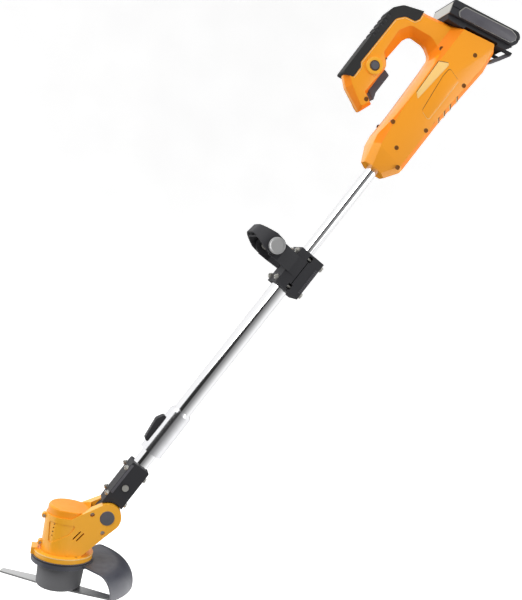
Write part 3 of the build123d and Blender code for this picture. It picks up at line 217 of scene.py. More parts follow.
class Shader:
    """Node tree of one material, with short calls for the nodes that the finishes share."""

    def __init__(self, name: str) -> None:
        """Starts a material with one Principled shader and object coordinates."""
        self.material = bpy.data.materials.new(name)
        self.material.use_nodes = True
        self.tree = self.material.node_tree
        self.surface = self.tree.nodes["Principled BSDF"]
        self.place = self.add("TexCoord", {}).outputs["Object"]

    def add(self, kind: str, inputs: dict, **settings: str | int) -> bpy.types.Node:
        """Adds a node to the material, as add_node does."""
        return add_node(self.tree, kind, inputs, **settings)

    def set(self, **values: Socket | float | tuple) -> None:
        """Fills the shader's own inputs, with the spaces in their names written as underscores."""
        fill_inputs(self.tree, self.surface, {name.replace("_", " "): v for name, v in values.items()})

    def noise(self, scale: float, detail: float = 3.0, stretch: Colour = (1, 1, 1),
              turn: Matrix | None = None) -> Socket:
        """Fractal noise over object coordinates.

        Args:
            scale: cells per metre.
            detail: octaves.
            stretch: factor on each axis, under 1 for long streaks.
            turn: frame whose axes the stretch follows, or None for the part's own.

        Returns:
            The noise's value socket.
        """
        mapping = self.add("Mapping", {"Scale": stretch, "Vector": self.place})
        if turn is not None:
            mapping.inputs["Rotation"].default_value = turn.to_3x3().inverted().to_euler()
        noise = self.add("TexNoise", {"Scale": scale, "Detail": detail, "Vector": mapping.outputs["Vector"]})
        return noise.outputs["Fac"]

    def spread(self, value: Socket, low: float, high: float, start: float = 0.3, end: float = 0.7) -> Socket:
        """Maps the middle of a noise's range to low..high."""
        limits = {"From Min": start, "From Max": end, "To Min": low, "To Max": high}
        return self.add("MapRange", {**limits, "Value": value}).outputs["Result"]

    def blend(self, value: Socket, first: Socket | Colour, second: Colour) -> Socket:
        """Colour between two, the first of which can be a socket, by a value from 0 to 1."""
        under = first if isinstance(first, Socket) else (*first, 1)
        inputs = {"A": under, "B": (*second, 1), "Factor": value}
        return self.add("Mix", inputs, data_type="RGBA").outputs["Result"]

    def times(self, first: Socket, second: Socket) -> Socket:
        """Product of two values."""
        return self.add("Math", {0: first, 1: second}, operation="MULTIPLY").outputs["Value"]

    def dot(self, first: Socket, second: Socket | Vector) -> Socket:
        """Dot product of two vectors."""
        return self.add("VectorMath", {0: first, 1: second}, operation="DOT_PRODUCT").outputs["Value"]

    def along(self, axis: Vector, start: float, end: float) -> Socket:
        """Ramp from 0 to 1 between two distances along a direction, in metres."""
        inputs = {"From Min": start, "From Max": end, "Value": self.dot(self.place, axis)}
        return self.add("MapRange", inputs, interpolation_type="SMOOTHSTEP").outputs["Result"]

    def rounded(self, radius: float) -> Socket:
        """Normal with sharp edges rounded by a radius in metres."""
        return self.add("Bevel", {"Radius": radius}, samples=4).outputs["Normal"]

    def edges(self, radius: float) -> Socket:
        """Value that is 1 on sharp edges and 0 on flats, from how far rounding turns the normal; it places
        the rubbed edges and the painted edge highlight.
        """
        flat = self.add("NewGeometry", {}).outputs["Normal"]
        return self.spread(self.dot(self.rounded(radius), flat), 1.0, 0.0, 0.8, 0.985)

    def bump(self, height: Socket, strength: float, depth: float, round_edges: float) -> None:
        """Raises the surface by a height socket.

        Args:
            height: the height, from 0 to 1.
            strength: share of the effect.
            depth: metres for a height of 1.
            round_edges: radius in metres by which sharp edges look rounded.
        """
        normal = self.rounded(round_edges)
        inputs = {"Strength": strength, "Distance": depth, "Height": height, "Normal": normal}
        self.set(Normal=self.add("Bump", inputs).outputs["Normal"])


@dataclass(frozen=True)
class Moulded:
    """Moulded plastic: a base colour that drifts a little, a fine grain and edges made lighter, partly as
    rubbing and partly as painted highlight.

    Attributes:
        name: material name.
        colour: main colour, linear.
        drift: colour in the slightly different patches.
        rough: lowest and highest roughness.
        grain: cells of the grain per metre.
        depth: height of the grain, metres.
        worn_and_highlight: colour of the lighter edges, partly rubbed and partly painted edge highlight.
        edge: radius of the rounded look of sharp edges, metres.
        coat: weight of the clear gloss.
        wear_and_highlight: share of the edges that takes that lighter colour.
        gloss: strength of the plain reflection.
        tone: direction, start, end and colour of a broad painted change of light and shade, or None.
    """

    name: str
    colour: Colour
    drift: Colour
    rough: Point = (0.32, 0.46)
    grain: float = 2600.0
    depth: float = 0.00004
    worn_and_highlight: Colour = (0.3, 0.3, 0.3)
    wear_and_highlight: float = 0.5
    edge: float = 0.0008
    coat: float = 0.0
    gloss: float = 0.5
    tone: tuple[Vector, float, float, Colour] | None = None

    def material(self) -> bpy.types.Material:
        """Builds the node material."""
        shader = Shader(self.name)
        patches = shader.spread(shader.noise(38, 4), 0, 1)
        colour = shader.blend(patches, self.colour, self.drift)
        # Painted light and shade: the colour shifts broadly along one direction.
        if self.tone:
            axis, start, end, painted_tint = self.tone
            colour = shader.blend(shader.along(axis, start, end), colour, painted_tint)
        # Lighter edges in patches: partly rubbed plastic, partly painted edge highlight.
        scuffs_and_highlight = shader.spread(shader.noise(420, 5), 0.15 * self.wear_and_highlight, self.wear_and_highlight, 0.42, 0.66)
        colour = shader.blend(shader.times(shader.edges(self.edge), scuffs_and_highlight), colour, self.worn_and_highlight)
        shader.set(Base_Color=colour, Roughness=shader.spread(shader.noise(95, 5), *self.rough))
        shader.bump(shader.noise(self.grain, 2), 0.5, self.depth, self.edge)
        shader.set(Coat_Weight=self.coat, Coat_Roughness=0.12, Specular_IOR_Level=self.gloss)
        return shader.material


@dataclass(frozen=True)
class Metal:
    """Bare or plated metal with drawn streaks, a drift of tone and dulled patches.

    Attributes:
        name: material name.
        colour: main colour, linear.
        drift: colour in the duller patches.
        rough: lowest and highest roughness.
        streak: factors that stretch the drawn marks.
        turn: frame that the streaks follow.
        marks: cells of the drawn marks per metre.
        depth: height of the drawn marks, metres.
        edge: radius of the rounded look of sharp edges, metres.
    """

    name: str
    colour: Colour
    drift: Colour
    rough: Point
    streak: Colour = (1, 1, 1)
    turn: Matrix | None = None
    marks: float = 900.0
    depth: float = 0.00001
    edge: float = 0.0004

    def material(self) -> bpy.types.Material:
        """Builds the node material."""
        shader = Shader(self.name)
        colour = shader.blend(shader.spread(shader.noise(55, 4), 0, 1), self.colour, self.drift)
        drawn = shader.noise(self.marks, 4, self.streak, self.turn)
        shader.set(Base_Color=colour, Roughness=shader.spread(drawn, *self.rough), Metallic=1.0)
        shader.bump(drawn, 0.35, self.depth, self.edge)
        return shader.material


# Painted shade: the orange deepens towards the pole's underside between these two depths.
SHADE_AXIS = FRAMES.under_pole
SHADE_FROM, SHADE_TO = (SHADE_AXIS.dot(POLE @ Vector((u * MM, 0, 0))) for u in (-20, -4))
DOWN = Vector((0, 0, -1))


class Finish(Enum):
    """Every finish on the tool, each made a material once."""

    # The orange's tone deepens towards the pole's underside as painted shade.
    ORANGE = Moulded("orange_plastic", (1.0, 0.47, 0.075), (1.0, 0.5, 0.09), (0.3, 0.42),
                     worn_and_highlight=(1.0, 0.62, 0.2), coat=0.06, gloss=0.22,
                     tone=(SHADE_AXIS, SHADE_FROM, SHADE_TO, (1.0, 0.33, 0.016)))
    # Painted shade: deeper orange for the sloped bevel band of the rear shell.
    BAND = Moulded("orange_bevel", (0.94, 0.25, 0.01), (0.97, 0.28, 0.013), (0.32, 0.44),
                   worn_and_highlight=(1.0, 0.5, 0.12), gloss=0.1)
    # Pale orange for the pale strip, and for painted highlight lines, lips and beads.
    PANEL = Moulded("pale_orange_panel", (1.0, 0.62, 0.2), (1.0, 0.67, 0.24), (0.3, 0.42),
                    worn_and_highlight=(1.0, 0.8, 0.45), gloss=0.25)
    CAP = Moulded("orange_cap", (0.99, 0.34, 0.016), (1.0, 0.38, 0.022), (0.28, 0.4), worn_and_highlight=(1.0, 0.6, 0.18),
                  coat=0.1, gloss=0.25)
    YELLOW = Moulded("yellow_plastic", (1.0, 0.52, 0.03), (1.0, 0.57, 0.045), (0.26, 0.36),
                     worn_and_highlight=(1.0, 0.74, 0.28), coat=0.1, gloss=0.25)
    # Painted shade: dark brown for panel shadow lines, screw holes, vent slots and a notch.
    RECESS = Moulded("brown_recess", (0.16, 0.055, 0.004), (0.2, 0.07, 0.006), (0.5, 0.65), gloss=0.2)
    # Black plastic, also used as painted shade in grip grooves, screw holes, the button's gap and under the
    # flange.
    BLACK = Moulded("black_plastic", (0.006, 0.006, 0.007), (0.011, 0.011, 0.012), (0.18, 0.3),
                    worn_and_highlight=(0.13, 0.13, 0.135), gloss=0.25)
    RUBBER = Moulded("black_rubber", (0.026, 0.026, 0.029), (0.038, 0.038, 0.041), (0.6, 0.76), grain=1500,
                     depth=0.00009, worn_and_highlight=(0.1, 0.1, 0.1), gloss=0.3)
    GREY = Moulded("grey_plastic", (0.06, 0.063, 0.078), (0.08, 0.083, 0.1), (0.34, 0.46),
                   worn_and_highlight=(0.4, 0.4, 0.42), wear_and_highlight=0.8)
    # Painted light: the guard turns lighter towards its lower skirt, and its edges lighten strongly as
    # painted highlight.
    GUARD = Moulded("guard_grey", (0.055, 0.058, 0.075), (0.07, 0.073, 0.09), (0.32, 0.44),
                    worn_and_highlight=(0.45, 0.45, 0.47), wear_and_highlight=0.9, tone=(DOWN, 0.856, 0.89, (0.24, 0.24, 0.26)))
    SMOKE = Moulded("satin_grey", (0.085, 0.082, 0.096), (0.11, 0.106, 0.12), (0.34, 0.44),
                    worn_and_highlight=(0.35, 0.35, 0.36))
    CHROME = Metal("chrome_tube", (0.82, 0.82, 0.84), (0.76, 0.76, 0.78), (0.03, 0.09), (1, 1, 0.02), POLE)
    BLADE = Metal("blade_steel", (0.95, 0.95, 0.96), (0.88, 0.88, 0.89), (0.38, 0.52), (0.03, 1, 1),
                  Matrix.Rotation(math.radians(-24.5), 4, "Z"))
    SLEEVE = Metal("sleeve_steel", (0.84, 0.84, 0.86), (0.78, 0.78, 0.8), (0.13, 0.19), (1, 1, 0.02), POLE)
    # Zinc-plated steel, also used as painted highlight on the battery panel's rim and its lit end face.
    ZINC = Metal("zinc_steel", (0.85, 0.84, 0.81), (0.7, 0.69, 0.66), (0.26, 0.42))
    SATIN = Metal("satin_metal", (0.6, 0.6, 0.61), (0.5, 0.5, 0.51), (0.3, 0.42), marks=1400)
    MAGNET = Metal("magnet", (0.09, 0.09, 0.095), (0.13, 0.13, 0.13), (0.45, 0.6))
    COPPER = Metal("copper", (0.72, 0.3, 0.12), (0.5, 0.2, 0.08), (0.28, 0.42), (1, 1, 0.1))
    BOARD = Moulded("board", (0.01, 0.11, 0.03), (0.015, 0.15, 0.05), (0.35, 0.5))
    WRAP = Moulded("cell_wrap", (0.02, 0.1, 0.35), (0.03, 0.13, 0.4), (0.25, 0.35))

    def material(self) -> bpy.types.Material:
        """The finish's material, made the first time it is asked for."""
        made = bpy.data.materials.get(self.value.name)
        return made or self.value.material()


def dress(finish: Finish, *nodes: str) -> None:
    """Gives CAD nodes a finish.

    Args:
        finish: the finish.
        nodes: names of the nodes that take it.
    """
    for name in nodes:
        slots = frame["nodes"][name].material_slots
        for slot in slots:
            slot.material = finish.material()


# ---- making meshes ----------------------------------------------------------------------------
class Piece:
    """One new mesh, drawn in millimetres in a working frame."""

    def __init__(self, name: str, space: Matrix) -> None:
        """Starts an empty mesh in a working frame."""
        self.name = name
        self.space = space
        self.bm = bmesh.new()

    def loop(self, points: list[Point], radii: list[float], height: float, segments: int = 4,
             axis: Axis = Axis.Y) -> list[bmesh.types.BMEdge]:
        """Closed flat loop of edges with its corners rounded.

        Args:
            points: corners, in the two axes other than the given one.
            radii: radius of each corner.
            height: where the loop lies along the axis.
            segments: pieces in each corner's arc.
            axis: normal of the loop's plane.

        Returns:
            The loop's edges.
        """
        flat = [i for i in range(3) if i != axis.value]
        corners = []
        for point in points:
            place = Vector((0, 0, 0))
            place[axis.value] = height
            for index, value in zip(flat, point):
                place[index] = value
            corners.append(self.bm.verts.new(place))
        face = self.bm.faces.new(corners)
        before = set(self.bm.faces) - {face}
        for index, (corner, radius) in enumerate(zip(corners, radii)):
            last, following = points[index - 1], points[(index + 1) % len(points)]
            here = Vector(points[index])
            angle = (Vector(last) - here).angle(Vector(following) - here)
            if radius and angle < math.radians(178):
                bmesh.ops.bevel(self.bm, geom=[corner], offset=radius / math.tan(angle / 2),
                                offset_type="OFFSET", segments=segments, profile=0.5, affect="VERTICES",
                                clamp_overlap=True, material=-1)
        made = [f for f in self.bm.faces if f not in before]
        edges = list({e for f in made for e in f.edges})
        bmesh.ops.delete(self.bm, geom=made, context="FACES_ONLY")
        return edges

    def fill(self, edges: list[bmesh.types.BMEdge]) -> list[bmesh.types.BMFace]:
        """Closes a loop of edges with one face."""
        return bmesh.ops.contextual_create(self.bm, geom=edges)["faces"]

    def prism(self, points: list[Point], low: float, high: float, radii: list[float] | float = 0.0,
              axis: Axis = Axis.Y, segments: int = 4) -> list[bmesh.types.BMFace]:
        """Solid drawn out from a flat outline.

        Args:
            points: corners of the outline.
            low: one end along the axis.
            high: the other end.
            radii: radius of every corner, or one for all.
            axis: the direction drawn along.
            segments: pieces in each corner's arc.

        Returns:
            The end faces at low and at high.
        """
        rounds = radii if isinstance(radii, list) else [radii] * len(points)
        foot = self.fill(self.loop(points, rounds, low, segments, axis))
        made = bmesh.ops.extrude_face_region(self.bm, geom=foot, use_keep_orig=True)["geom"]
        verts = [v for v in made if isinstance(v, bmesh.types.BMVert)]
        bmesh.ops.translate(self.bm, verts=verts, vec=axis.unit() * (high - low))
        return foot + [f for f in made if isinstance(f, bmesh.types.BMFace)]

    def turn(self, profile: list[Point], centre: Point = (0, 0), axis: Axis = Axis.Z,
             steps: int = 48) -> None:
        """Shape turned all round from a profile about an axis.

        Args:
            profile: points as (radius, distance along the axis).
            centre: where the axis passes, in the other two axes.
            axis: the axis turned about.
            steps: pieces round the turn.
        """
        flat = [i for i in range(3) if i != axis.value]
        middle, side = Vector((0, 0, 0)), Vector((0, 0, 0))
        for index, value in zip(flat, centre):
            middle[index] = value
        side[flat[0]] = 1.0
        verts = [self.bm.verts.new(middle + side * r + axis.unit() * h) for r, h in profile]
        edges = [self.bm.edges.new(pair) for pair in zip(verts, verts[1:])]
        bmesh.ops.spin(self.bm, geom=verts + edges, cent=middle, axis=axis.unit(), angle=math.tau,
                       steps=steps, use_merge=True, use_duplicate=False)

    def round_off(self, width: float, segments: int = 2, sharper: float = 28.0,
                  where: Callable[[Vector], bool] | None = None) -> None:
        """Bevels every edge whose faces meet at more than an angle.

        Args:
            width: bevel width.
            segments: pieces across the bevel.
            sharper: degrees past which an edge is bevelled.
            where: test of an edge's middle, or None for all edges.
        """
        self.tidy()
        edges = [e for e in self.bm.edges if len(e.link_faces) == 2
                 and e.calc_face_angle(0.0) > math.radians(sharper)
                 and (where is None or where((e.verts[0].co + e.verts[1].co) / 2))]
        bmesh.ops.bevel(self.bm, geom=edges, offset=width, offset_type="OFFSET", segments=segments,
                        profile=0.5, affect="EDGES", clamp_overlap=True, material=-1)

    def everything(self) -> list[bmesh.types.BMVert | bmesh.types.BMEdge | bmesh.types.BMFace]:
        """Every vertex, edge and face of the mesh."""
        return [*self.bm.verts, *self.bm.edges, *self.bm.faces]

    def cut(self, axis: Axis, *places: float) -> None:
        """Adds a line of edges where a plane across the axis crosses the mesh, at each place."""
        for at in places:
            bmesh.ops.bisect_plane(self.bm, geom=self.everything(), dist=1e-5, plane_co=axis.unit() * at,
                                   plane_no=axis.unit())

    def tidy(self) -> None:
        """Merges doubled vertices and turns the faces outward."""
        bmesh.ops.remove_doubles(self.bm, verts=self.bm.verts, dist=1e-3)
        bmesh.ops.recalc_face_normals(self.bm, faces=self.bm.faces)

    def mirror(self) -> None:
        """Copies the mesh to the other side of the tool's middle plane."""
        bmesh.ops.mirror(self.bm, geom=self.everything(), matrix=Matrix.Identity(4), merge_dist=1e-3,
                         axis="Y")

    def place(self, body: Body, finishes: list[Finish], replaces: tuple[str, ...] = (),
              smooth: float = 32.0) -> bpy.types.Object:
        """Makes the object, in metres and in its place, and lets it ride on its body.

        Args:
            body: the body it moves with.
            finishes: finishes of its material slots.
            replaces: CAD nodes that it stands for.
            smooth: degrees up to which neighbouring faces are shaded as one surface.

        Returns:
            The finished object.
        """
        self.tidy()
        self.bm.transform(self.space @ Matrix.Scale(MM, 4))
        for face in self.bm.faces:
            face.smooth = True
        for edge in self.bm.edges:
            if len(edge.link_faces) == 2 and edge.calc_face_angle(0.0) > math.radians(smooth):
                edge.smooth = False
        mesh = bpy.data.meshes.new(self.name)
        self.bm.to_mesh(mesh)
        self.bm.free()
        made = bpy.data.objects.new(self.name, mesh)
        bpy.context.collection.objects.link(made)
        for finish in finishes:
            mesh.materials.append(finish.material())
        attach(made, body.value)
        if replaces:
            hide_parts(*replaces)
        return made


# ---- rear housing -----------------------------------------------------------------------------
@dataclass
class RearHousing:
    """Moulded body round the pole's top, with the neck and grip core, as one closed shell.

    Each row of the outline is a corner on the outer wall, the same corner on the flat side inside the
    bevelled band, and the corner's radius.
    """

    outline: list[tuple[Point, Point, float]] = field(default_factory=lambda: [
        ((-20.5, 672), (-9, 672), 1), ((20.5, 672), (9, 672), 1), ((33, 692), (24, 697), 6),
        ((32.5, 800), (24.5, 800), 20), ((38.5, 905), (30.5, 904), 8), ((33, 940), (27, 936), 4),
        ((24.8, 951.3), (22, 945.8), 2), ((-43.2, 930.5), (-42, 925), 4), ((-66, 921), (-64, 915), 8),
        ((-97, 911), (-95, 904), 8), ((-125, 892), (-121, 887), 12), ((-134.6, 877), (-128, 872), 10),
        ((-132.2, 753), (-127, 757), 8), ((-116, 740), (-113, 747), 6), ((-76, 725), (-81, 731), 3),
        ((-68, 748), (-75, 745), 2), ((-84, 756), (-91, 752), 2), ((-85, 801), (-89, 805), 4),
        ((-94.5, 819), (-106, 819.5), 3), ((-92.5, 858), (-109, 861), 9), ((-86, 873.5), (-99, 880.5), 10),
        ((-60, 877.5), (-61, 890), 20), ((-40.5, 868), (-37, 882.5), 12), ((-37, 850), (-33.6, 854), 16),
        ((-34, 763), (-29.5, 768), 30), ((-33.5, 716), (-24.6, 722), 10), ((-30.5, 700), (-22, 703), 6),
    ])
    body_wall: float = 20.0
    back_wall: float = 9.0
    body_half: float = 32.0
    grip_half: float = 18.0
    neck: Point = (-31.0, -46.0)
    mouth: Point = (672.0, 698.0)
    mouth_radius: float = 20.5
    mouth_wall: float = 14.4
    band_from: float = 705.0
    screws: list[Point] = field(default_factory=lambda: [
        (-81.5, 744.5), (-38.7, 884.0), (8.4, 910.5), (24.5, 862.0), (-29.0, 742.0), (1.0, 715.0),
        (21.0, 767.0), (22.0, 693.0)])
    vent_places: tuple[float, ...] = (782.9, 794.8, 809.1, 823.4, 840.2)

    def depth(self, u: float) -> float:
        """Half thickness of the flat side at a place across the pole."""
        share = min(max((u - self.neck[1]) / (self.neck[0] - self.neck[1]), 0.0), 1.0)
        return self.grip_half + (self.body_half - self.grip_half) * share

    def shell(self) -> Piece:
        """Builds the shell: walls, bevelled band and flat sides, thinner at the grip and the mouth."""
        piece = Piece("rear_shell", POLE)
        radii = [row[2] for row in self.outline]
        outer, inner = [row[0] for row in self.outline], [row[1] for row in self.outline]
        middle, wall, flat = (piece.loop(points, radii, -height, 7) for points, height in (
            (outer, 0.0), (outer, self.body_wall), (inner, self.body_half)))
        for pair in (middle + wall, wall + flat):
            bmesh.ops.bridge_loops(piece.bm, edges=pair)
        piece.fill(flat)
        piece.cut(Axis.X, *self.neck)
        piece.cut(Axis.Z, self.mouth[1])
        for vert in piece.bm.verts:
            u, y, w = vert.co
            if abs(y + self.body_wall) < 0.01 and u < -33.5 and w < 905:
                y = -self.back_wall
            near = min(max((self.mouth[1] - w) / (self.mouth[1] - self.mouth[0]), 0.0), 1.0)
            inner = y < -(self.body_wall + self.body_half) / 2
            end = (self.mouth_radius if inner else self.mouth_wall) / self.body_half
            vert.co.y = y * (self.depth(u) / self.body_half) * (1 + (end - 1) * near)
        piece.tidy()
        piece.mirror()
        piece.round_off(1.6, 2, 24)
        return piece

    def build(self) -> None:
        """Makes the shell with its bevel band painted darker as shade, and the details on both sides."""
        piece = self.shell()
        # Painted shade: the sloped faces of the bevel band take a deeper orange.
        for face in piece.bm.faces:
            if 0.25 < abs(face.normal.y) < 0.93 and face.calc_center_median().z > self.band_from:
                face.material_index = 1
        piece.place(Body.REAR, [Finish.ORANGE, Finish.BAND], ("rear_housing_left", "rear_housing_right"))
        for side, label in SIDES.items():
            self.panels(side, label)
            self.screw_well_shades(side, label)
            self.vents(side, label)
        dress(Finish.ZINC, "rear_housing_screws")

    def panels(self, side: int, label: str) -> None:
        """Long strip and large rounded panel, each with a painted shadow line and a painted highlight line
        round it.
        """
        face = side * self.body_half
        strip = [(-28.4, 801.4), (-21.5, 795.3), (-15.4, 872.6), (-31.4, 862.6)]
        panel = [(-3.4, 785.9), (13.6, 781.7), (13.2, 861.8), (-10.3, 866.5), (-11.2, 848.7)]
        for name, points, radii in (("strip", strip, [1, 1.5, 2, 1.5]), ("panel", panel, [4, 4, 4, 4, 8])):
            # Each outline gets a painted shadow copy offset one way and a painted highlight copy offset the
            # other, under the plate.
            for part, shift, proud, finish in (
                    ("shade", (-0.9, 0.7), 0.12, Finish.RECESS), ("light", (0.8, -0.8), 0.16, Finish.PANEL),
                    ("plate", (0, 0), 0.45, Finish.PANEL if name == "strip" else Finish.ORANGE)):
                piece = Piece(f"{name}_{part}_{label}", POLE)
                moved = [(u + shift[0], w + shift[1]) for u, w in points]
                piece.prism(moved, face - side * 0.6, face + side * proud, radii)
                if part == "plate":
                    piece.round_off(0.3, 2, 40)
                piece.place(Body.REAR, [finish])

    def screw_well_shades(self, side: int, label: str) -> None:
        """Painted shade: a dark disc in each screw hole, with a lip round it."""
        wells = Piece(f"screw_wells_{label}", POLE)
        for u, w in self.screws:
            face = side * self.depth(u)
            wells.turn([(0, face + side * 0.05), (2.6, face + side * 0.08), (3.1, face + side * 0.3),
                        (3.5, face + side * 0.3), (3.8, face - side * 0.6)], (u, w), Axis.Y, 24)
        wells.place(Body.REAR, [Finish.RECESS])

    def vents(self, side: int, label: str) -> None:
        """Five cooling slots across the belly's bevel, each a dark bar of painted shade with a pale lower lip
        of painted highlight.
        """
        slots, lips = Piece(f"vent_slots_{label}", POLE), Piece(f"vent_lips_{label}", POLE)
        # Dark bars stand in for the shade inside the slots; the pale lips are painted highlight.
        for w in self.vent_places:
            outer = 32.7 + (w - 800) * 0.057
            for made, low, high, out in ((slots, 0.0, 3.2, 0.25), (lips, -1.5, 0.0, 0.6)):
                points = [(outer - 8, w + low), (outer + out, w + low - 1.5), (outer + out, w + high - 1.5),
                          (outer - 8, w + high)]
                made.prism(points, side * 16.5, side * (self.body_half + 0.3))
                tips = [v for v in made.bm.verts
                        if v.co.x > outer - 1 and abs(v.co.y) > 21 and abs(v.co.z - w) < 6]
                bmesh.ops.translate(made.bm, verts=tips, vec=Vector((0, -side * 12.0, 0)))
        slots.place(Body.REAR, [Finish.RECESS])
        lips.round_off(0.3, 1, 40)
        lips.place(Body.REAR, [Finish.PANEL])


# ---- grip and controls ------------------------------------------------------------------------
@dataclass
class Grip:
    """Soft skin on the grip with its cross grooves, and the trigger and lock-off button."""

    skin: list[Point] = field(default_factory=lambda: [
        (-136, 752), (-119, 756), (-119.3, 776), (-124.3, 782), (-123.9, 871), (-114, 884),
        (-97.5, 889.5), (-94, 897), (-96, 911.4), (-127, 896), (-139, 880)])
    radii: list[float] = field(default_factory=lambda: [3, 3, 3, 3, 10, 8, 3, 3, 1, 12, 12])
    screws: tuple[Point, ...] = ((-112.5, 890.4), (-123.6, 760.5))
    notch: Point = (-96.5, 814.5)
    half: float = 18.0
    proud: float = 0.35
    rounding: float = 6.0
    grooves: tuple[float, ...] = (826.6, 836.2, 847.0, 856.5, 866.1)
    groove_width: float = 4.4
    groove_wall: float = 0.7
    groove_depth: float = 2.6
    groove_end: float = -132.0
    lock: Point = (-104.2, 792.0)

    def build(self) -> None:
        """Makes the skin with its cut grooves, their faces painted dark as shade, the painted highlight bead
        along the border, the marks of painted shade and the controls.
        """
        piece = Piece("grip_cover", POLE)
        piece.prism(self.skin, -self.half - self.proud, self.half + self.proud, self.radii)
        piece.round_off(self.rounding, 5, 40, lambda at: at.x < -125.5 or (at.z > 893 and at.x < -97))
        for w in self.grooves:
            top = w + self.groove_width
            piece.cut(Axis.Z, w, w + self.groove_wall, top - self.groove_wall, top)
        piece.cut(Axis.X, self.groove_end)
        for vert in piece.bm.verts:
            inside = any(w + 0.5 < vert.co.z < w + self.groove_width - 0.5 for w in self.grooves)
            if inside and vert.co.x < self.groove_end - 0.1:
                vert.co.x += self.groove_depth
                vert.co.y *= 0.93
        # Painted shade: the groove faces take the black finish, darker than the rubber.
        for face in piece.bm.faces:
            middle = face.calc_center_median()
            grooved = any(w < middle.z < w + self.groove_width for w in self.grooves)
            if grooved and middle.x < self.groove_end + 1:
                face.material_index = 1
        piece.place(Body.REAR, [Finish.RUBBER, Finish.BLACK], ("grip_skin",))
        for side, label in SIDES.items():
            self.border(side, label)
            self.marks(side, label)
        self.boss()
        dress(Finish.SMOKE, "trigger")
        dress(Finish.BLACK, "power_switch", "lock_off_button")
        dress(Finish.YELLOW, "lock_off_bezel")
        dress(Finish.ZINC, "trigger_spring")
        dress(Finish.BOARD, "control_board")

    def border(self, side: int, label: str) -> None:
        """Raised bead of painted highlight on the orange beside the skin's edge."""
        bead = Piece(f"grip_bead_{label}", POLE)
        path = [(-117.2, 756.5), (-117.5, 775), (-122.4, 782), (-122, 870), (-113, 882.2), (-96.6, 887.6),
                (-92.2, 896.5), (-94, 909)]
        for (u0, w0), (u1, w1) in zip(path, path[1:]):
            along = Vector((u1 - u0, w1 - w0)).normalized() * 0.4
            across = Vector((-along.y, along.x)) * 1.4
            a, b = Vector((u0, w0)) - along, Vector((u1, w1)) + along
            corners = [tuple(a - across), tuple(b - across), tuple(b + across), tuple(a + across)]
            bead.prism(corners, side * (self.half - 0.5), side * (self.half + 0.3))
        bead.place(Body.REAR, [Finish.PANEL])

    def marks(self, side: int, label: str) -> None:
        """Two dark screw wells on the skin and the small notch in the window's band, all dark patches of
        painted shade.
        """
        wells = Piece(f"skin_screws_{label}", POLE)
        face = side * self.half
        for at in self.screws:
            wells.turn([(0, face + side * 0.05), (2.0, face + side * 0.1), (2.5, face + side * 0.35),
                        (3.0, face + side * 0.3), (3.3, face - side * 0.4)], at, Axis.Y, 24)
        wells.place(Body.REAR, [Finish.BLACK])
        notch = Piece(f"window_notch_{label}", POLE)
        u, w = self.notch
        notch.prism([(u - 1.6, w - 1.8), (u + 1.4, w - 1.2), (u + 1.6, w + 1.6), (u - 1.2, w + 1.2)],
                    side * (self.half - 6), side * (self.half - 1.2), 0.4)
        notch.place(Body.REAR, [Finish.RECESS])

    def boss(self) -> None:
        """Stepped ring, a dark ring of painted shade in the gap round the lock-off button, and the button's
        dished cap.
        """
        ring = Piece("lock_ring", POLE)
        face = -self.half - 2.6
        ring.turn([(8.2, face + 0.6), (8.2, face - 0.25), (9.0, face - 0.5), (12.3, face - 0.5),
                   (13.3, face + 0.4), (13.4, face + 0.9)], self.lock, Axis.Y, 56)
        ring.place(Body.REAR, [Finish.YELLOW])
        well = Piece("lock_well", POLE)
        well.turn([(6.9, face + 0.8), (6.9, face - 0.1), (8.3, face - 0.1), (8.3, face + 0.8)],
                  self.lock, Axis.Y)
        well.place(Body.REAR, [Finish.BLACK])
        cap = Piece("lock_button_cap", POLE)
        tip = -self.half - 4.0
        cap.turn([(0, tip - 0.1), (1.6, tip - 0.1), (4.6, tip - 0.5), (6.0, tip - 0.35), (6.5, tip + 0.3)],
                 self.lock, Axis.Y, 40)
        cap.place(Body.LOCK_OFF, [Finish.SMOKE])


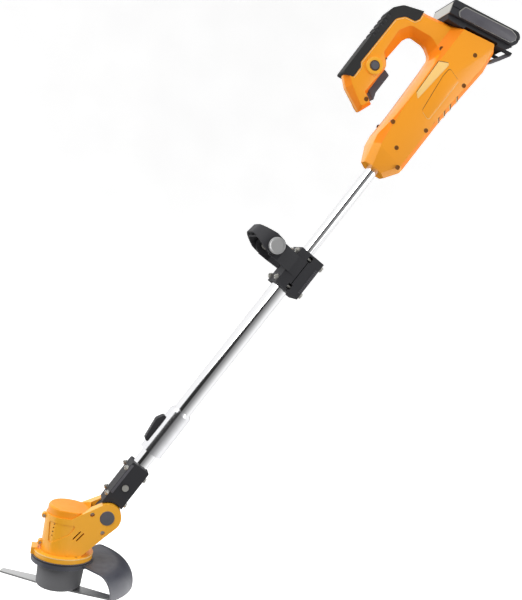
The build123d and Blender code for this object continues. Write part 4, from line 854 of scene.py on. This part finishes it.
# ---- battery ----------------------------------------------------------------------------------
@dataclass
class Battery:
    """Battery pack with side panels framed by a painted highlight line, its seam, the pale end plate as
    painted light on that end, and the ribs on top.
    """

    half_length: float = 62.0
    half_width: float = 37.5
    height: float = 23.5

    def build(self) -> None:
        """Makes the pack's case, its panels and trims, and dresses the parts inside."""
        self.case()
        for side, label in SIDES.items():
            self.side_panel(side, label)
        self.end_plate()
        self.top_ribs()
        dress(Finish.BLACK, "battery_foot")
        dress(Finish.GREY, "terminal_block")
        dress(Finish.SMOKE, "battery_release")
        dress(Finish.ZINC, "release_hinge")
        dress(Finish.WRAP, "battery_cells")

    def case(self) -> None:
        """Lower tray and upper cover with soft edges, and the shadow line between them."""
        for name, node, low, high in (("pack_tray", "battery_lower_case", 0.3, 11.6),
                                      ("pack_cover", "battery_upper_case", 12.0, self.height)):
            piece = Piece(name, BATTERY)
            inset = 0.0 if name == "pack_cover" else 0.5
            ends = [(-self.half_length + inset, low), (self.half_length - inset, low),
                    (self.half_length - inset, high), (-self.half_length + inset, high)]
            radii = [0.6, 0.6, 10.5, 2] if name == "pack_cover" else [1.5, 9.5, 0.6, 0.6]
            piece.prism(ends, -self.half_width + inset, self.half_width - inset, radii)
            piece.round_off(2.4 if name == "pack_cover" else 1.4, 3, 50)
            if name == "pack_tray":
                piece.prism([(-22, -4), (46, -4), (46, 1), (-22, 1)], -20, 20)
            piece.place(Body.BATTERY, [Finish.BLACK], (node,))

    def side_panel(self, side: int, label: str) -> None:
        """Stadium panel on the side, with a painted highlight frame line along its top and left end."""
        face = side * self.half_width
        inner = [(-44, 1.4), (49.5, 2.2), (56, 9), (54.5, 15.5), (44, 19.7), (-41, 18.4), (-47.5, 8.5)]
        outer = [(-45.8, 1.4), (49.5, 1.8), (56.2, 9), (54.8, 16), (44, 21), (-42, 19.8), (-49.3, 8.7)]
        radii = [3, 6, 5, 6, 8, 4, 4]
        # The rim shows only along the top and left end, as painted highlight where the key light falls.
        for name, points, proud, width, finish in (("rim", outer, 0.3, 0.2, Finish.ZINC),
                                                   ("panel", inner, 0.6, 0.4, Finish.SMOKE)):
            piece = Piece(f"pack_{name}_{label}", BATTERY)
            piece.prism(points, face - side * 3.2, face + side * proud, radii)
            piece.round_off(width, 2, 60)
            piece.place(Body.BATTERY, [finish])

    def end_plate(self) -> None:
        """Pale plate on the pack's outer end, painted light that makes the end face look lit."""
        plate = Piece("pack_end_plate", BATTERY)
        edge = self.half_width - 2.5
        points = [(-edge, 1.0), (edge, 1.0), (edge, 19.5), (-edge, 19.5)]
        plate.prism(points, -self.half_length - 0.6, -self.half_length + 1.0, 3, Axis.X)
        plate.round_off(0.4, 2, 60)
        plate.place(Body.BATTERY, [Finish.ZINC])

    def top_ribs(self) -> None:
        """Row of shallow grip ribs along the cover's edges."""
        ribs = Piece("pack_top_ribs", BATTERY)
        for step in range(15):
            e = -46 + step * 6.4
            for side in SIDES:
                y = side * (self.half_width - 4.5)
                ribs.prism([(e, y - 2.6), (e + 3.6, y - 2.6), (e + 3.6, y + 2.6), (e, y + 2.6)],
                           self.height - 0.5, self.height + 0.35, 0.9, Axis.Z, 2)
        ribs.place(Body.BATTERY, [Finish.SMOKE])


# ---- pole, clamp block and front handle -------------------------------------------------------
@dataclass
class Pole:
    """Polished tubes, the lock sleeve with its wedge slider, and the clamp block at the foot."""

    block: tuple[float, float, float, float] = (15.5, 20.0, 17.0, 88.0)

    def build(self) -> None:
        """Dresses the pole's nodes and adds the slider's ridges and the block's trims."""
        dress(Finish.CHROME, "inner_tube", "outer_tube", "upper_tube", "guide_bush")
        dress(Finish.SLEEVE, "lock_sleeve")
        dress(Finish.BLACK, "reducer_bush", "lock_slider", "clamp_block", "clamp_block_cover", "hinge_tongue")
        dress(Finish.ZINC, "clamp_block_bolts", "clamp_block_nuts", "pole_cross_bolt")
        self.slider_grip()
        self.block_trim()

    def slider_grip(self) -> None:
        """Cross ridges on the slider's sloping thumb face."""
        ridges = Piece("slider_ridges", POLE)
        for step in range(6):
            w = 128.5 + step * 4.6
            u = -21.9 - (w - 124.5) * 0.126
            ridge = [(u + 0.6, w), (u - 0.6, w + 0.3), (u - 0.6, w + 1.3), (u + 0.6, w + 1.6)]
            ridges.prism(ridge, -6.6, 6.6)
        ridges.place(Body.SLIDER, [Finish.SMOKE])

    def block_trim(self) -> None:
        """Raised strip on each side of the block and a ring round the cross bolt."""
        half_u, half_y, low, high = self.block
        for side, label in SIDES.items():
            trim = Piece(f"block_strip_{label}", POLE)
            trim.prism([(-half_u + 0.8, low + 16), (-half_u + 4.6, low + 16), (-half_u + 4.6, high - 4),
                        (-half_u + 0.8, high - 4)], side * (half_y - 0.5), side * (half_y + 0.35), 0.8)
            trim.round_off(0.25, 1, 50)
            trim.place(Body.POLE, [Finish.SMOKE])
        ring = Piece("cross_bolt_ring", POLE)
        ring.turn([(5.4, -half_y + 0.3), (5.4, -half_y - 0.5), (7.2, -half_y - 0.5), (7.6, -half_y + 0.3)],
                  (0.0, 50.0), Axis.Y, 40)
        ring.place(Body.POLE, [Finish.BLACK])


@dataclass
class FrontHandle:
    """Finishes of the clamp, yoke and loop, with the swing knobs' faces and the clamp's ribs."""

    knob: float = 13.0
    face: float = 49.6
    ribs: tuple[float, float, int] = (443.5, 3.0, 15)

    def build(self) -> None:
        """Dresses the handle's nodes and adds the knobs' faces and the clamp's ribs."""
        dress(Finish.BLACK, "handle_yoke", "handle_clamp_cap", "front_handle_loop")
        dress(Finish.ZINC, "handle_clamp_bolts", "handle_clamp_nuts", "swing_nuts")
        dress(Finish.SATIN, "swing_knobs")
        self.knob_faces()
        self.clamp_ribs()

    def knob_faces(self) -> None:
        """Dished face with a bright rim on each swing knob."""
        pivot = (POLE.inverted() @ Vector(joint("handle_swing")["pos_m"])) / MM
        for side, label in SIDES.items():
            face = Piece(f"knob_face_{label}", POLE)
            y = side * self.face
            face.turn([(0, y - side * 0.6), (4, y - side * 0.5), (9.4, y - side * 0.2),
                       (10.6, y + side * 0.5), (self.knob - 0.6, y + side * 0.45),
                       (self.knob, y - side * 0.6)],
                      (pivot.x, pivot.z), Axis.Y, 56)
            face.place(Body.REAR, [Finish.SATIN])

    def clamp_ribs(self) -> None:
        """Fine ribs along the clamp cap's outer corners."""
        start, pitch, count = self.ribs
        for side, label in SIDES.items():
            ribs = Piece(f"clamp_ribs_{label}", POLE)
            for step in range(count):
                w = start + step * pitch
                ribs.prism([(21.4, w), (26.6, w), (26.6, w + 1.3), (21.4, w + 1.3)],
                           side * 26.5, side * 27.45)
            ribs.place(Body.REAR, [Finish.SMOKE])


# ---- cutter head ------------------------------------------------------------------------------
@dataclass
class CutterHead:
    """Finishes of the motor housing, cap, flange, guard, cup and blade, with the flange's painted highlight
    and shadow rims.
    """

    flange: float = 44.0

    def build(self) -> None:
        """Dresses the head's nodes and adds its painted highlight and shadow rims."""
        dress(Finish.YELLOW, "head_housing_left", "head_housing_right", "guard_flange")
        dress(Finish.CAP, "head_top_cap")
        dress(Finish.SMOKE, "tilt_button", "tilt_pivot_cap")
        dress(Finish.GUARD, "blade_guard")
        dress(Finish.GREY, "blade_hub_cup")
        dress(Finish.BLADE, "cutting_blade")
        dress(Finish.SATIN, "motor_can", "drive_spindle")
        dress(Finish.ZINC, "head_screws", "guard_screws", "tilt_pivot_pin", "tilt_button_spring",
              "blade_washer", "blade_nut", "upper_bearing", "lower_bearing")
        dress(Finish.MAGNET, "motor_magnets")
        dress(Finish.COPPER, "motor_armature")
        self.rims()

    def rims(self) -> None:
        """Painted highlight bead round the flange's edge and a black band of painted shadow under it."""
        bead = Piece("flange_bead", HEAD)
        bead.turn([(self.flange - 1.2, 56.4), (self.flange - 0.2, 56.8), (self.flange + 0.3, 56.0),
                   (self.flange + 0.2, 54.8), (self.flange - 1.2, 54.8)], steps=96)
        bead.place(Body.HEAD, [Finish.PANEL])
        band = Piece("flange_band", HEAD)
        band.turn([(self.flange + 1.0, 48.6), (self.flange + 2.1, 48.3), (self.flange + 2.1, 46.4),
                   (self.flange + 1.0, 46.2)], steps=96)
        band.place(Body.HEAD, [Finish.BLACK])


# ---- studio -----------------------------------------------------------------------------------
@dataclass
class Studio:
    """Pale floor, soft light all round and the camera.

    Attributes:
        azimuth: turn of the view from straight on, degrees.
        elevation: how far the camera looks down, degrees.
        roll: turn of the camera about its line of sight, degrees.
        from_spindle: camera's place from the spindle's foot, metres.
        lens: focal length, mm.
        sensor: height of the sensor, mm.
        floor_drop: room under the tool for the extended pole, metres.
    """

    azimuth: float = -13.0
    elevation: float = 2.0
    roll: float = 9.5
    from_spindle: Colour = (-0.0533, -1.2622, 0.5193)
    lens: float = 50.0
    sensor: float = 36.0
    floor_drop: float = 0.3

    def build(self) -> None:
        """Makes the floor, the lights and the camera."""
        self.floor()
        self.sky()
        self.lights()
        self.camera()

    def floor(self) -> None:
        """Large round floor that curves up into a low wall."""
        lowest = CAD_BOX[0][2] - self.floor_drop
        bm = bmesh.new()
        profile = [(0.0, 0.0), (4.0, 0.0), (5.0, 0.15), (5.7, 0.7), (6.0, 1.7), (6.0, 5.0)]
        verts = [bm.verts.new((x - 0.3, 0, lowest + z)) for x, z in profile]
        edges = [bm.edges.new(pair) for pair in zip(verts, verts[1:])]
        bmesh.ops.spin(bm, geom=verts + edges, cent=(-0.3, 0, 0), axis=(0, 0, 1), angle=math.tau, steps=72,
                       use_merge=True, use_duplicate=False)
        bmesh.ops.recalc_face_normals(bm, faces=bm.faces)
        bmesh.ops.reverse_faces(bm, faces=bm.faces)
        mesh = bpy.data.meshes.new("studio_floor")
        bm.to_mesh(mesh)
        bm.free()
        for polygon in mesh.polygons:
            polygon.use_smooth = True
        floor = bpy.data.objects.new("studio_floor", mesh)
        bpy.context.collection.objects.link(floor)
        shader = Shader("studio_floor")
        tone = shader.blend(shader.spread(shader.noise(3, 2), 0, 1), (0.9, 0.9, 0.9), (0.93, 0.93, 0.93))
        shader.set(Base_Color=tone, Emission_Color=tone, Roughness=0.9, Emission_Strength=0.62)
        mesh.materials.append(shader.material)
        floor.visible_glossy = False
        floor.visible_diffuse = False
        floor.visible_shadow = False

    def sky(self) -> None:
        """Light and dark strips round the pole's axis, which the polished tubes mirror."""
        world = bpy.data.worlds.new("studio")
        bpy.context.scene.world = world
        world.use_nodes = True
        tree = world.node_tree
        place = add_node(tree, "TexCoord", {}).outputs["Generated"]
        parts = {}
        for index, axis in enumerate((FRAMES.under_pole, Vector((0, -1, 0)))):
            dot = add_node(tree, "VectorMath", {0: place, 1: axis}, operation="DOT_PRODUCT")
            parts[index] = dot.outputs["Value"]
        angle = add_node(tree, "Math", parts, operation="ARCTAN2").outputs["Value"]
        scale = add_node(tree, "MapRange", {"From Min": -math.pi, "From Max": math.pi, "Value": angle})
        ramp = add_node(tree, "ValToRGB", {"Fac": scale.outputs["Result"]})
        stops = [(-180, 0.05), (-172, 0.9), (-110, 1.0), (-66, 1.0), (-60, 0.03), (-20, 0.02), (-10, 0.2),
                 (12, 0.3), (45, 0.6), (85, 1.0), (138, 1.0), (146, 0.04), (172, 0.03), (180, 0.05)]
        elements = ramp.color_ramp.elements
        for element, (degrees, level) in zip(elements, (stops[0], stops[-1])):
            element.position = (degrees + 180) / 360
            element.color = (level, level, level, 1)
        for degrees, level in stops[1:-1]:
            elements.new((degrees + 180) / 360).color = (level, level, level, 1)
        fill_inputs(tree, tree.nodes["Background"], {"Color": ramp.outputs["Color"], "Strength": 1.15})

    def lights(self) -> None:
        """Large soft key light from above left, and a low fill from the right."""
        aim = Vector((-0.1, 0, -0.3))
        for name, at, size, power in (("key_light", (-1.6, -1.5, 1.3), 1.6, 46.0),
                                      ("fill_light", (1.7, -1.2, -0.1), 1.4, 16.0),
                                      ("top_light", (0.2, 0.4, 1.8), 1.8, 14.0)):
            light = bpy.data.lights.new(name, "AREA")
            light.shape = "SQUARE"
            light.size = size
            light.energy = power
            made = bpy.data.objects.new(name, light)
            made.location = at
            made.rotation_euler = (aim - Vector(at)).to_track_quat("-Z", "Y").to_euler()
            bpy.context.collection.objects.link(made)

    def camera(self) -> None:
        """Camera low beside the tool, rolled so that the pole leans across the view."""
        turn, tip, roll = (math.radians(v) for v in (self.azimuth, self.elevation, self.roll))
        look = Vector((-math.sin(turn) * math.cos(tip), math.cos(turn) * math.cos(tip), -math.sin(tip)))
        right = Vector((math.cos(turn), math.sin(turn), 0))
        up = right.cross(look)
        side = right * math.cos(roll) + up * math.sin(roll)
        top = up * math.cos(roll) - right * math.sin(roll)
        data = bpy.data.cameras.new("camera")
        data.lens = self.lens
        data.sensor_fit = "VERTICAL"
        data.sensor_height = self.sensor
        made = bpy.data.objects.new("camera", data)
        place = Vector(joint("blade_spin")["pos_m"]) + Vector(self.from_spindle)
        made.matrix_world = Matrix.Translation(place) @ Matrix((side, top, -look)).transposed().to_4x4()
        bpy.context.collection.objects.link(made)
        bpy.context.scene.camera = made
        bpy.context.scene.view_settings.view_transform = "Standard"


def main() -> None:
    """Builds each sub-assembly in order, then the studio."""
    logging.basicConfig(level=logging.INFO, format="%(message)s")
    for part in (RearHousing(), Grip(), Battery(), Pole(), FrontHandle(), CutterHead(), Studio()):
        before = set(bpy.data.objects)
        part.build()
        for made in sorted(o.name for o in set(bpy.data.objects) - before):
            LOG.info("%s: %s", type(part).__name__, made)


if __name__ == "__main__":
    main()
